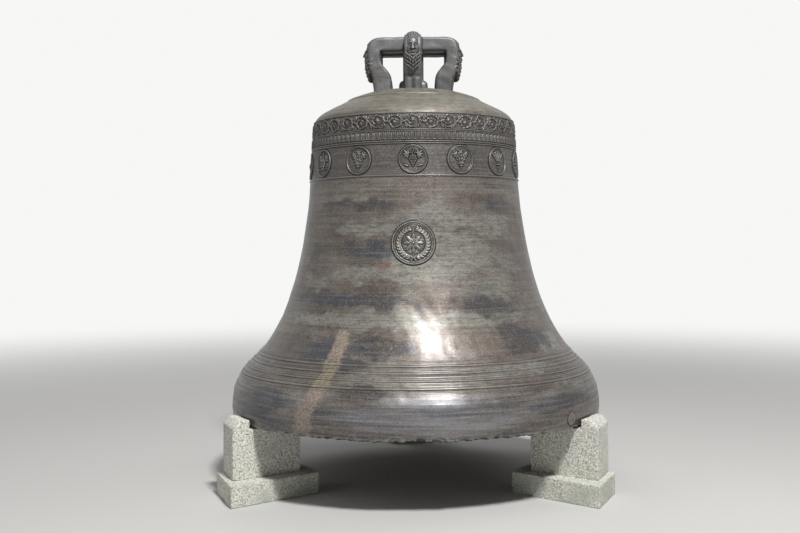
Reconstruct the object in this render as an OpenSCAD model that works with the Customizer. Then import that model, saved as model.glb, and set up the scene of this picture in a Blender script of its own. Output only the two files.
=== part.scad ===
// Large cast bronze bell standing mouth down on three granite supports, with its clapper inside.
// Origin: on the floor under the bell's axis. +Z up, -Y is the front, where the crest medallion is.
// The curves of the walls are cubic Bezier curves, set by named points and pulls.

/* [Bell] */
// Diameter of the mouth, over the widest ring
mouth_d = 2400; // [2200:10:2600]
// Height of the bell without its crown, from lip to head
bell_h = 2125; // [1950:5:2300]
// Diameter of the shoulder, over the ornament band
shoulder_d = 1324; // [1240:2:1400]
// Height of the shoulder above the lip
shoulder_h = 1865; // [1780:5:1940]
// Radius at which the shoulder turns into the flatter head
head_r = 430; // [400:5:470]
// Drop from the top of the head to that turn
head_drop = 76; // [60:2:100]
// Height of the flare's upper turn above the lip
flare_h = 365; // [330:5:400]
// How far the flare's upper turn lies inside the widest ring
flare_in = 132; // [110:2:160]

/* [Walls] */
// Radial width of the lip, from the widest ring to the inner edge
lip_w = 92; // [80:1:110]
// Radial width of the flat ring on which the bell stands
lip_flat_w = 32; // [20:1:40]
// Wall at the upper turn of the flare, measured level
flare_wall = 133; // [110:1:150]
// Wall at the shoulder, measured level
shoulder_wall = 60; // [50:1:75]
// Thickness of the head on the axis
head_wall = 95; // [85:1:110]

// Pulls of the outer wall's curves from their ends, inwards or outwards and upwards or downwards
flare_pull = 196;
waist_low_pull = [-298, 270];
waist_high_pull = [31, -635];
shoulder_low_pull = [-7, 95];
shoulder_high_pull = [135, -78];
head_low_pull = [-100, 56];
head_high_pull = 160;
// Radii and drops of the inner wall's curve under the head
inner_head_pulls = [150, 300];
inner_turn_r = 400; // [380:5:420]
inner_turn_drop = 50; // [40:2:60]
inner_turn_pull = [120, -25];
// Pulls of the inner wall's curves
inner_shoulder_drop = 20; // [10:2:30]
inner_shoulder_pull = [-5, 60];
inner_waist_pull = [57, -1058];
inner_flare_pull = [-121, 292];
inner_bow_pull = [74, -203];
inner_lip_pull = [-64, 121];

/* [Ornament] */
// Heights of the moulding wires of the flare above the lip
flare_wires = [290, 336, 371, 414];
// Radius of a moulding wire of the flare
flare_wire_r = 8; // [5:0.5:10]
// Heights of the wires of the upper bands above the lip
band_wires = [1517, 1719, 1793, 1897];
// Radius of a wire of the upper bands
band_wire_r = 5; // [3:0.5:7]
// Turns of the medallions round the bell, in degrees from the front towards the right, unevenly set by hand
medallion_turns = [0, 25, 50.5, 76, 102, 128, 154, 180, 205, 230, 254.5, 279, 303.5, 330.7];
// Diameter of a medallion
medallion_d = 174; // [140:2:190]
// Height of the medallions' centres above the lip
medallion_h = 1612; // [1605:1:1625]
// Diameter of the crest medallion on the front
crest_d = 262; // [200:2:300]
// Height of the crest medallion's centre above the lip
crest_h = 1111; // [1000:5:1200]
// Width of a medallion's raised rim
rim_w = 12; // [8:1:16]
// How far a medallion's rim stands proud of the wall
rim_proud = 9; // [6:1:12]
// How far a medallion's field stands proud of the wall
field_proud = 4; // [2:0.5:5]

/* [Crown] */
// Height of the crown's flat top above the head
crown_h = 328; // [300:2:360]
// Depth of the level arm of a canon
arm_h = 88; // [76:1:96]
// Width of a canon across its flat sides
canon_w = 110; // [90:1:120]
// Gap between the two canons of a side pair
pair_gap = 55; // [45:1:60]
// Radius from the axis to the outer side of a canon's foot
foot_out_r = 253; // [245:1:262]
// Radius from the axis to the inner side of a canon's foot
foot_in_r = 141; // [134:1:146]
// Radius from the axis to the outer side of a canon's bow
bow_out_r = 298; // [290:1:306]
// Radius from the axis to the inner side of a canon's bow
bow_in_r = 213; // [206:1:220]
// Height above the head at which the outer side of a bow is widest
bow_out_h = 200; // [190:2:210]
// Height above the head at which the inner side of a bow turns inwards
bow_in_h = 178; // [172:2:184]
// Height above the head up to which the inner side of a canon's foot is straight
foot_in_h = 45; // [35:1:55]
// Pulls of a canon's curves from their ends, outwards and upwards
foot_out_pull = [5, 45];
bow_out_pull = [-12, -75];
bow_top_pull = [0, 58];
arch_pull = [55, -4];
bow_in_pull = [-7, -38];
foot_in_pull = [0, 65];
// Distance from the outer side of a bow to where the arm's top is level
arch_w = 73; // [65:1:85]
// Width of the middle post across the front
post_w = 135; // [120:1:145]
// Depth of the middle post below the arms
post_d = 150; // [130:1:160]
// Side of the square base of the post
base_w = 190; // [180:1:200]
// Height of the base above the top of the head
base_h = 54; // [44:1:64]
// Radius of the base's rounded top edges
base_round = 30; // [20:1:36]
// Radius of a mask's head, seen from above
mask_r = 52; // [44:1:54]
// How far a mask reaches beyond the bow of its canon
mask_proud = 27; // [20:1:32]
// Height of a mask's head, without the beard's point
mask_h = 170; // [150:2:180]
// How far a mask's head stands above the crown's flat top
mask_rise = 6; // [2:1:10]
// Length of the beard's point
beard_h = 85; // [60:1:95]

/* [Clapper] */
// Depth of the clapper's pivot below the top of the head
pivot_drop = 310; // [290:1:330]
// Distance from the pivot to the middle of the ball
ball_reach = 1850; // [1800:1:1860]
// Radius of the ball
ball_r = 145; // [130:1:150]
// Length of the knob under the ball
flight_h = 20; // [10:1:24]
// Radius of that knob
flight_r = 62; // [50:1:70]
// Radius of the shaft at its thin top
shaft_top_r = 40; // [34:1:44]
// Radius of the shaft above the ball
shaft_low_r = 58; // [50:1:64]
// Thickness of the flat head of the clapper, between the strap's legs
blade_t = 92; // [86:1:96]
// Width of the flat head of the clapper
blade_w = 90; // [80:1:94]
// Radius of the staple's round iron
staple_r = 32; // [28:1:34]
// Distance between the middles of the staple's legs
staple_span = 200; // [180:2:220]
// Cover of bronze over the staple's cast-in ends
staple_cover = 40; // [30:1:50]
// Length of the leather sleeve on the staple
sleeve_l = 96; // [92:1:100]
// Running clearance of the leather sleeve on the staple, on the radius
sleeve_gap = 0.06; // [0.04:0.01:0.1]
// Thickness of the iron strap
strap_t = 14; // [10:1:18]
// Length of the strap's legs below the pivot
strap_leg = 280; // [270:1:300]
// Depth of the upper bolt below the pivot
bolt_upper = 110; // [100:1:120]
// Depth of the lower bolt below the pivot
bolt_lower = 230; // [210:1:240]
// Radius of the bolts' shanks
bolt_r = 12; // [10:0.5:14]
// Clearance of a bolt in its holes, on the radius
bolt_gap = 0.5; // [0.3:0.1:1]
// Width of the bolt heads and nuts across their flats
hex_w = 36; // [34:1:40]
// Height of a bolt head
bolt_head_h = 15; // [12:1:18]
// Height of a nut
nut_h = 20; // [16:1:24]
// Thickness of a washer
washer_t = 4; // [3:0.5:6]
// Radius of a washer
washer_r = 25; // [23:1:28]

/* [Supports] */
// Height of a support's foot slab
foot_h = 130; // [110:1:150]
// Height of the seat above the foot slab
block_h = 295; // [280:1:320]
// Height of the stop shoulder above the seat
stop_h = 56; // [50:1:75]
// Gap between the bell's widest ring and the stop shoulder
stop_gap = 10; // [6:1:16]
// Thickness of the stop shoulder, outwards along its middle
stop_t = 95; // [85:1:110]
// Bevel of the shoulder's outer top edge
stop_bevel = 42; // [30:1:48]
// Width of a block at its inner end
block_inner_w = 160; // [140:2:190]
// Width of a block at its outer end
block_outer_w = 270; // [250:2:300]
// Reach of the two front blocks inwards from the stop shoulder
block_in = 345; // [300:5:380]
// Reach of the rear block inwards from the stop shoulder
rear_block_in = 132; // [120:2:200]
// Turn of the outer faces of block and foot from square to their middle line, in degrees
end_skew = 7.5; // [0:0.5:9]
// Ledge of the foot slab beyond the outer face of the block
foot_ledge = 40; // [20:1:50]
// Reach of the foot slab to its front side, from its middle line, at the inner and the outer end
foot_front = [150, 265];
// Reach of the foot slab to its back side at the inner and the outer end
foot_back = [100, 145];
// Reach of the two front foot slabs inwards beyond the block
foot_in = 95; // [60:1:120]
// Reach of the rear foot slab inwards beyond the block
rear_foot_in = 2; // [0:1:60]

/* [Hidden] */
$fn = 96;

bronze = [0.36, 0.32, 0.28];
dark_bronze = [0.30, 0.28, 0.26];
iron = [0.22, 0.21, 0.20];
hide = [0.33, 0.21, 0.13];
granite = [0.78, 0.77, 0.73];

curve_steps = 14;
mouth_r = mouth_d / 2;
shoulder_r = shoulder_d / 2;
lip_z = foot_h + block_h;
head_z = lip_z + bell_h;
shoulder_z = lip_z + shoulder_h;
flare_z = lip_z + flare_h;
turn_z = head_z - head_drop;
flare_r = mouth_r - flare_in;
wide_z = lip_z + 65;

crown_top = head_z + crown_h;
arm_z = crown_top - arm_h;
pair_y = (canon_w + pair_gap) / 2;
cross_d = 2 * canon_w + pair_gap;
cross_z = arm_z - 25;
dig = 60;

pivot_z = head_z - pivot_drop;
ball_z = pivot_z - ball_reach;
sleeve_r = blade_t / 2;
blade_top = pivot_z - sleeve_r - 4;
blade_low = pivot_z - strap_leg - 30;
bolt_depths = [bolt_upper, bolt_lower];
clamp_x = sleeve_r + strap_t;

block_r = mouth_r + stop_gap;
// Turns about the axis: the front, the rear and the two front supports
front = -90;
rear = 90;
front_left = 210;
front_right = 330;

// Points of a cubic Bezier curve, without its last one
function curve(a, b, c, d) = [
    for (i = [0 : curve_steps - 1])
        let (t = i / curve_steps, s = 1 - t)
            s * s * s * a + 3 * s * s * t * b + 3 * s * t * t * c + t * t * t * d
];

// Turns of the walls, as [radius, height]
flare_turn = [flare_r, flare_z];
shoulder_turn = [shoulder_r, shoulder_z];
head_turn = [head_r, turn_z];

// Outer wall from the lip's chamfer up to the axis, as [radius, height]
outer_wall = concat(
    [[mouth_r - lip_w + lip_flat_w, lip_z], [mouth_r - 6, lip_z + 16]],
    curve([mouth_r, wide_z], [mouth_r, wide_z + 20], [mouth_r, wide_z + flare_pull], flare_turn),
    curve(flare_turn, flare_turn + waist_low_pull, shoulder_turn + waist_high_pull, shoulder_turn),
    curve(shoulder_turn, shoulder_turn + shoulder_low_pull, head_turn + shoulder_high_pull, head_turn),
    curve(head_turn, head_turn + head_low_pull, [head_high_pull, head_z], [0, head_z])
);

// Inner wall from the axis down to the lip's inner edge
inner_lip = [mouth_r - lip_w, lip_z];
inner_flare = [flare_r - flare_wall, flare_z];
inner_shoulder = [shoulder_r - shoulder_wall, shoulder_z - inner_shoulder_drop];
inner_head_z = head_z - head_wall;
inner_turn = [inner_turn_r, inner_head_z - inner_turn_drop];
inner_wall = concat(
    curve([0, inner_head_z], [inner_head_pulls[0], inner_head_z],
          [inner_head_pulls[1], inner_head_z - inner_turn_drop / 2], inner_turn),
    curve(inner_turn, inner_turn + inner_turn_pull, inner_shoulder + inner_shoulder_pull, inner_shoulder),
    curve(inner_shoulder, inner_shoulder + inner_waist_pull, inner_flare + inner_flare_pull, inner_flare),
    curve(inner_flare, inner_flare + inner_bow_pull, inner_lip + inner_lip_pull, inner_lip)
);

wall_by_height = [for (p = outer_wall) [p[1], p[0]]];

function wall_r(z) = lookup(z, wall_by_height);

module outer_form() {
    rotate_extrude()
        polygon(concat([[0, lip_z]], outer_wall, [[0, head_z]]));
}

// Solid under the head's surface, used to seat the crown's feet on it
module head_cap() {
    rotate_extrude()
        polygon(concat([[0, turn_z]], [for (p = outer_wall) if (p[1] >= turn_z - 0.01) p], [[0, head_z]]));
}

module wire(h, r) {
    rotate_extrude()
        translate([wall_r(lip_z + h), lip_z + h])
            circle(r = r, $fn = 24);
}

// Layer of the wall between two heights, standing proud of it
module wall_layer(low, high, proud) {
    heights = [for (i = [0 : 8]) low + (high - low) * i / 8];
    rotate_extrude()
        polygon(concat(
            [for (z = heights) [wall_r(z) + proud, z]],
            [for (i = [8 : -1 : 0]) [wall_r(heights[i]) - 6, heights[i]]]));
}

// Round disc on the wall: a radial cylinder cut by a layer of the wall
module wall_disc(h, d, proud, turn) {
    intersection() {
        rotate([0, 0, turn])
            translate([shoulder_r / 2, 0, lip_z + h])
                rotate([0, 90, 0])
                    cylinder(h = mouth_r, d = d);
        wall_layer(lip_z + h - d / 2 - 2, lip_z + h + d / 2 + 2, proud);
    }
}

module wall_ring(h, d, turn) {
    difference() {
        wall_disc(h, d, rim_proud, turn);
        rotate([0, 0, turn])
            translate([0, 0, lip_z + h])
                rotate([0, 90, 0])
                    cylinder(h = 2 * mouth_r, d = d - 2 * rim_w);
    }
}

module staple_legs(r) {
    for (y = [-1, 1])
        translate([0, y * staple_span / 2, pivot_z])
            cylinder(h = head_z - staple_cover - pivot_z, r = r);
}

module bell_body() {
    color(bronze) difference() {
        union() {
            rotate_extrude()
                polygon(concat(outer_wall, [[0, head_z]], inner_wall, [inner_lip]));
            for (h = flare_wires)
                wire(h, flare_wire_r);
            for (h = band_wires)
                wire(h, band_wire_r);
            for (turn = medallion_turns) {
                wall_disc(medallion_h, medallion_d, field_proud, front + turn);
                wall_ring(medallion_h, medallion_d, front + turn);
            }
            wall_disc(crest_h, crest_d, field_proud, front);
            wall_ring(crest_h, crest_d, front);
        }
        staple_legs(staple_r);
    }
}

// Ends of a canon's curves, as [radius from the axis, height]
foot_out = [foot_out_r + 4, head_z + 5];
bow_out = [bow_out_r, head_z + bow_out_h];
arch_end = [bow_out_r - arch_w, crown_top];
bow_in = [bow_in_r, head_z + bow_in_h];
foot_in_top = [foot_in_r, head_z + foot_in_h];

// Side outline of a canon
canon_outline = concat(
    [[foot_out_r - 3, head_z - dig], [foot_out_r, head_z - 20]],
    curve(foot_out, foot_out + foot_out_pull, bow_out + bow_out_pull, bow_out),
    curve(bow_out, bow_out + bow_top_pull, arch_end + arch_pull, arch_end),
    [arch_end, [0, crown_top], [0, arm_z], [bow_in_r, arm_z]],
    curve(bow_in, bow_in + bow_in_pull, foot_in_top + foot_in_pull, foot_in_top),
    [foot_in_top, [foot_in_r, head_z - dig]]
);

// A canon along +X, from the face of the post at start: the bow and, outside it, the mask's head and beard
module canon_form(start) {
    mask_x = bow_out_r + mask_proud - mask_r;
    difference() {
        union() {
            rotate([90, 0, 0])
                linear_extrude(height = canon_w, center = true)
                    polygon(canon_outline);
            translate([mask_x, 0, crown_top - mask_h])
                cylinder(h = mask_h - mask_r, r = mask_r);
            translate([mask_x, 0, crown_top + mask_rise - mask_r])
                sphere(r = mask_r);
            translate([mask_x, 0, crown_top - mask_h - beard_h])
                cylinder(h = beard_h, r1 = mask_r / 2, r2 = mask_r);
        }
        translate([-1, -canon_w, arm_z - 30])
            cube([start + 1, 2 * canon_w, crown_h]);
    }
}

// A canon turned and moved to its place, its foot cut to the head's surface
module seated_canon(turn, y, start) {
    color(dark_bronze) difference() {
        translate([0, y, 0])
            rotate([0, 0, turn])
                canon_form(start);
        head_cap();
    }
}

module crown_post() {
    color(dark_bronze) difference() {
        union() {
            translate([-post_w / 2, -post_d / 2, head_z - dig])
                cube([post_w, post_d, crown_top - head_z + dig]);
            translate([-post_w / 2, -cross_d / 2, cross_z])
                cube([post_w, cross_d, crown_top - cross_z]);
            translate([-base_w / 2, -base_w / 2, head_z - dig])
                cube([base_w, base_w, base_h - base_round + dig]);
            translate([base_round - base_w / 2, -base_w / 2, head_z - dig])
                cube([base_w - 2 * base_round, base_w, base_h + dig]);
            for (x = [-1, 1])
                translate([x * (base_w / 2 - base_round), base_w / 2, head_z + base_h - base_round])
                    rotate([90, 0, 0])
                        cylinder(h = base_w, r = base_round);
        }
        head_cap();
    }
}

module canon_front() {
    seated_canon(front, 0, cross_d / 2);
}

module canon_rear() {
    seated_canon(rear, 0, cross_d / 2);
}

module canon_left_front() {
    seated_canon(180, -pair_y, post_w / 2);
}

module canon_left_rear() {
    seated_canon(180, pair_y, post_w / 2);
}

module canon_right_front() {
    seated_canon(0, -pair_y, post_w / 2);
}

module canon_right_rear() {
    seated_canon(0, pair_y, post_w / 2);
}

// Bar along Y at a height, centred on the axis
module bar_y(length, r) {
    translate([0, length / 2, pivot_z])
        rotate([90, 0, 0])
            cylinder(h = length, r = r);
}

module clapper_staple() {
    color(iron) union() {
        staple_legs(staple_r);
        bar_y(staple_span, staple_r);
        for (y = [-1, 1])
            translate([0, y * staple_span / 2, pivot_z])
                sphere(r = staple_r);
    }
}

module staple_leather() {
    color(hide) difference() {
        bar_y(sleeve_l, sleeve_r);
        bar_y(sleeve_l + 2, staple_r + sleeve_gap);
    }
}

module bolt_holes() {
    for (h = bolt_depths)
        translate([-clamp_x - 1, 0, pivot_z - h])
            rotate([0, 90, 0])
                cylinder(h = 2 * clamp_x + 2, r = bolt_r + bolt_gap);
}

module hanger_strap() {
    color(iron) difference() {
        union() {
            bar_y(blade_w, clamp_x);
            translate([-clamp_x, -blade_w / 2, pivot_z - strap_leg])
                cube([2 * clamp_x, blade_w, strap_leg]);
        }
        bar_y(blade_w + 2, sleeve_r);
        translate([-sleeve_r, -blade_w, pivot_z - strap_leg - 1])
            cube([2 * sleeve_r, 2 * blade_w, strap_leg + 1]);
        bolt_holes();
    }
}

module hanger_bolts() {
    hex_r = hex_w / 2 / cos(30);
    under_head = clamp_x + washer_t;
    color(iron) for (h = bolt_depths)
        translate([-under_head, 0, pivot_z - h])
            rotate([0, 90, 0])
                union() {
                    translate([0, 0, -bolt_head_h])
                        cylinder(h = bolt_head_h, r = hex_r, $fn = 6);
                    cylinder(h = 2 * under_head + nut_h + 8, r = bolt_r);
                }
}

module hanger_washers() {
    color(iron) for (h = bolt_depths)
        for (x = [-clamp_x - washer_t, clamp_x])
            translate([x, 0, pivot_z - h])
                rotate([0, 90, 0])
                    difference() {
                        cylinder(h = washer_t, r = washer_r);
                        translate([0, 0, -1])
                            cylinder(h = washer_t + 2, r = bolt_r + bolt_gap);
                    }
}

module hanger_nuts() {
    hex_r = hex_w / 2 / cos(30);
    color(iron) for (h = bolt_depths)
        translate([clamp_x + washer_t, 0, pivot_z - h])
            rotate([0, 90, 0])
                difference() {
                    cylinder(h = nut_h, r = hex_r, $fn = 6);
                    translate([0, 0, -1])
                        cylinder(h = nut_h + 2, r = bolt_r);
                }
}

// Round part of the clapper: the shaft widens towards the ball, and a short knob stands below it
clapper_outline = concat(
    [[0, blade_low + 20], [shaft_top_r + 4, blade_low + 20], [shaft_top_r, blade_low - 60]],
    [[shaft_low_r, ball_z + ball_r + 60]],
    curve([shaft_low_r, ball_z + ball_r + 60], [shaft_low_r + 6, ball_z + ball_r],
          [ball_r * 0.62, ball_z + ball_r * 0.86], [ball_r * 0.766, ball_z + ball_r * 0.643]),
    [[ball_r * 0.6, ball_z], [flight_r, ball_z - ball_r * 0.7]],
    [[flight_r, ball_z - ball_r - flight_h + 12], [flight_r - 12, ball_z - ball_r - flight_h]],
    [[0, ball_z - ball_r - flight_h]]
);

module clapper() {
    color(iron) difference() {
        union() {
            rotate_extrude()
                polygon(clapper_outline);
            translate([0, 0, ball_z])
                sphere(r = ball_r);
            translate([-blade_t / 2, -blade_w / 2, blade_low])
                cube([blade_t, blade_w, blade_top - blade_low]);
        }
        bolt_holes();
    }
}

// Point of an outer face that is turned by end_skew about its middle, at a reach outwards and to the front
function end_point(outwards, frontwards) = [outwards + frontwards * tan(end_skew), frontwards];

// Reach of a straight side at a distance outwards, from its reaches at its two ends
function side_reach(reaches, start, end, outwards) =
    reaches[0] + (reaches[1] - reaches[0]) * (outwards - start) / (end - start);

// Prism that bevels the top edge from a to b, with the block on its left
module edge_bevel(a, b) {
    top = lip_z + stop_h;
    translate([a[0], a[1], 0])
        rotate([90, 0, atan2(b[1] - a[1], b[0] - a[0]) + 90])
            translate([0, 0, -stop_t])
                linear_extrude(height = norm(b - a) + 2 * stop_t)
                    polygon([
                        [0, top - stop_bevel], [-1, top - stop_bevel], [-1, top + 1],
                        [stop_bevel, top + 1], [stop_bevel, top],
                    ]);
}

// A support block along +X, wider outwards: the seat under the lip and, outside it, the bevelled stop shoulder
module support_block(inwards) {
    start = block_r - inwards;
    inner_half = side_reach([block_inner_w / 2, block_outer_w / 2], block_r - block_in, block_r + stop_t, start);
    back_out = end_point(block_r + stop_t, -block_outer_w / 2);
    front_out = end_point(block_r + stop_t, block_outer_w / 2);
    color(granite) difference() {
        translate([0, 0, foot_h])
            linear_extrude(height = block_h + stop_h)
                polygon([[start, -inner_half], back_out, front_out, [start, inner_half]]);
        translate([start - 1, -block_outer_w, lip_z])
            cube([inwards + 1, 2 * block_outer_w, stop_h + 1]);
        edge_bevel(back_out, front_out);
    }
}

module support_foot(inwards) {
    start = block_r - inwards;
    longest = block_r - block_in - foot_in;
    end = block_r + stop_t + foot_ledge;
    color(granite) linear_extrude(height = foot_h)
        polygon([
            [start, -side_reach(foot_back, longest, end, start)], end_point(end, -foot_back[1]),
            end_point(end, foot_front[1]), [start, side_reach(foot_front, longest, end, start)],
        ]);
}

module support_block_left() {
    rotate([0, 0, front_left]) support_block(block_in);
}

module support_block_right() {
    rotate([0, 0, front_right]) mirror([0, 1, 0]) support_block(block_in);
}

module support_block_rear() {
    rotate([0, 0, rear]) support_block(rear_block_in);
}

module support_foot_left() {
    rotate([0, 0, front_left]) support_foot(block_in + foot_in);
}

module support_foot_right() {
    rotate([0, 0, front_right]) mirror([0, 1, 0]) support_foot(block_in + foot_in);
}

module support_foot_rear() {
    rotate([0, 0, rear]) support_foot(rear_block_in + rear_foot_in);
}

bell_body();
crown_post();
canon_front();
canon_rear();
canon_left_front();
canon_left_rear();
canon_right_front();
canon_right_rear();
clapper_staple();
staple_leather();
hanger_strap();
hanger_bolts();
hanger_washers();
hanger_nuts();
clapper();
support_block_left();
support_block_right();
support_block_rear();
support_foot_left();
support_foot_right();
support_foot_rear();
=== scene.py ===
"""The looks of a cast bronze bell on granite supports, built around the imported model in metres.

The bell's wall, its mouldings and ornament, the crown with its masks and the stones are surfaces worked out as arrays.
Every surface is a grid of points, and relief is a height added to the wall below it. The clapper, the staple and the
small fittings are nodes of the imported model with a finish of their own.
"""
import math

import bmesh
import bpy
import numpy as np
from mathutils import Matrix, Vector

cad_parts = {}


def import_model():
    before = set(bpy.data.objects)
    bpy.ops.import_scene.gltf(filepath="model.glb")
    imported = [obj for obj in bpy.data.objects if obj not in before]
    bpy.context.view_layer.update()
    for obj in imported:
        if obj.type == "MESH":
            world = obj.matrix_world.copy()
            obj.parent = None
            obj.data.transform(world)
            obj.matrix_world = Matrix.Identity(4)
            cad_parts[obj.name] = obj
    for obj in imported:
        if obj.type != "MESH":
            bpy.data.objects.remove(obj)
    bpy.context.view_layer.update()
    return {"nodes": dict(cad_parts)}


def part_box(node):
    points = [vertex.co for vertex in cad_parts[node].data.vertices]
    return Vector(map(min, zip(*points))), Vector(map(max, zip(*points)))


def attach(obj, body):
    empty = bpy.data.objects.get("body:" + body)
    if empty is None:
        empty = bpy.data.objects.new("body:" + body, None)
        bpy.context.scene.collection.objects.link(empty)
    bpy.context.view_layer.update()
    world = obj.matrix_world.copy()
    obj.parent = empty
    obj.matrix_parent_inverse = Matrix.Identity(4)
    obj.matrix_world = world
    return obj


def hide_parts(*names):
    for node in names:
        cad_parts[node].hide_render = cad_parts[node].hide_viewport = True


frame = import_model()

TAU = 2 * math.pi

# Camera: the photograph's place, in metres and pixels of an 800 by 533 picture
IMAGE_W = 800
FOCAL_PX = 1035
HORIZON_PX = 244
CENTRE_PX = 266.5
CAMERA_TURN = math.radians(1.3)
CAMERA_ROLL = math.radians(-0.37)
CAMERA_AWAY = 6.881
CAMERA_SIDE = -0.0964
CAMERA_HIGH = 1.53
LAMP_AIM_Z = 1.3

# Sizes taken from the frame
bell_low, bell_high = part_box("bell_body")
LIP_Z = bell_low[2]
HEAD_Z = bell_high[2]
MOUTH_R = (bell_high[0] - bell_low[0]) / 2

# Sizes of the wall, as in the part's source
SHOULDER_R, SHOULDER_Z = 0.662, LIP_Z + 1.865
TURN_R, TURN_Z = 0.430, HEAD_Z - 0.076
FLARE_R, FLARE_Z = MOUTH_R - 0.132, LIP_Z + 0.365
WIDE_Z = LIP_Z + 0.065
LIP_IN, LIP_FLAT = MOUTH_R - 0.092, MOUTH_R - 0.060
INNER_FLARE_R, INNER_SHOULDER_R = FLARE_R - 0.133, SHOULDER_R - 0.060
INNER_HEAD_Z = HEAD_Z - 0.095

# Heights of the ornament
SCROLL_LOW, SCROLL_HIGH = LIP_Z + 1.793, LIP_Z + 1.897
TONGUE_LOW = LIP_Z + 1.719
MEDALLION_Z, MEDALLION_R = LIP_Z + 1.615, 0.088
MEDALLION_TURNS = [0, 25, 50.5, 76, 102, 128, 154, 180, 205, 230, 254.5, 279, 303.5, 330.7]
CREST_Z, CREST_R = LIP_Z + 1.111, 0.131
SCROLLS, TONGUES, BAND_R = 19, 114, SHOULDER_R + 0.003
LINE_BELOW_Z = LIP_Z + 1.517
FLARE_WIRES = [LIP_Z + h for h in (0.296, 0.336, 0.374, 0.411)]

# Crown: each canon has a turn from the right and a place to the side of the bell's middle line
CANON_W, PAIR_Y = 0.110, 0.0825
CANONS = {"front": (-90, 0), "rear": (90, 0), "left_front": (180, -PAIR_Y), "left_rear": (180, PAIR_Y),
          "right_front": (0, -PAIR_Y), "right_rear": (0, PAIR_Y)}
POST_W, POST_D, CROSS_D, BASE_W, BASE_H = 0.135, 0.150, 0.275, 0.190, 0.054


def curve(a, b, c, d, n):
    """n points of a cubic Bezier curve, without its last one."""
    t = np.arange(n)[:, None] / n
    a, b, c, d = (np.array(p, float) for p in (a, b, c, d))
    return (1 - t) ** 3 * a + 3 * (1 - t) ** 2 * t * b + 3 * (1 - t) * t ** 2 * c + t ** 3 * d


def chain(start, *parts):
    """Bezier curves one after another: each part is two handles, an end and a number of points."""
    curves = []
    for b, c, end, n in parts:
        curves.append(curve(start, b, c, end, n))
        start = end
    return np.vstack(curves)


def spline(knots, n):
    """n points along a Catmull-Rom spline through the knots, each a row of numbers."""
    k = np.array(knots, float)
    k = np.vstack([2 * k[0] - k[1], k, 2 * k[-1] - k[-2]])
    t = np.linspace(0, len(k) - 3 - 1e-9, n)
    i = t.astype(int)
    f = (t - i)[:, None]
    a, b, c, d = k[i], k[i + 1], k[i + 2], k[i + 3]
    return 0.5 * (2 * b + (c - a) * f + (2 * a - 5 * b + 4 * c - d) * f ** 2 + (3 * b - a - 3 * c + d) * f ** 3)


def smooth(x, start, end):
    """Smooth step: 0 before the start, 1 past the end, an S between. It falls where the end is the lower one."""
    t = np.clip((x - start) / (end - start), 0, 1)
    return t * t * (3 - 2 * t)


def bump(x, middle, width):
    """Gauss bell of height 1 at middle."""
    return np.exp(-((x - middle) / width) ** 2)


def half_round(d):
    """Height of a round bar: sqrt(1 - d^2), with d the distance from its middle in half widths."""
    return np.sqrt(np.clip(1 - d ** 2, 0, 1))


def ripple(points, size, seed):
    """Sum of 14 sines along random directions, with wavelengths about size: a smooth field about -1 to 1."""
    rng = np.random.default_rng(seed)
    k = rng.normal(size=(14, 3))
    k *= (TAU / size * rng.uniform(0.6, 1.5, 14) / np.linalg.norm(k, axis=1))[:, None]
    phase = rng.uniform(0, TAU, 14)
    return np.sin(np.asarray(points) @ k.T + phase).sum(-1) / math.sqrt(14)


def blur(h, times):
    """Each height averaged with its neighbours, over and over."""
    for _ in range(times):
        h = (h + np.roll(h, 1, 0) + np.roll(h, -1, 0) + np.roll(h, 1, 1) + np.roll(h, -1, 1)) / 5
    return h


def relief_shade_and_wear(rise, times, depth):
    """How far a relief stands above or sinks below its own blurred rise, 1 to -1, in depths. It marks where hollows are
    painted dark as shade and raised parts painted lighter, as wear and as highlight.
    """
    return np.clip((rise - blur(rise, times)) / depth, -1, 1)


def all_round(count):
    """A row of equal turns, once round."""
    return np.linspace(0, TAU, count, endpoint=False)[None, :]


def turned(points, degrees):
    """Points turned about the vertical axis."""
    return points @ np.array(Matrix.Rotation(math.radians(degrees), 3, "Z")).T


def close_ends(points):
    """The first and the last row drawn together, each in its middle."""
    points[0], points[-1] = points[0].mean(0), points[-1].mean(0)
    return points


def add_ends(points):
    """A row before the first and one after the last, all their points in the middle of their neighbour."""
    first, last = (np.broadcast_to(points[i].mean(0), points[:1].shape) for i in (0, -1))
    return np.concatenate([first, points, last])


# Material tools

def set_input(socket, value):
    """An input linked to another node's output, or given its number, colour or direction."""
    if isinstance(value, bpy.types.NodeSocket):
        socket.id_data.links.new(value, socket)
    elif socket.type == "RGBA" and len(value) == 3:
        socket.default_value = (*value, 1)
    else:
        socket.default_value = value


def add_node(tree, kind, inputs=None, **settings):
    """A node with its settings and inputs."""
    made = tree.nodes.new(kind)
    for key, value in settings.items():
        setattr(made, key, value)
    for key, value in (inputs or {}).items():
        set_input(made.inputs[key], value)
    return made


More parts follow.
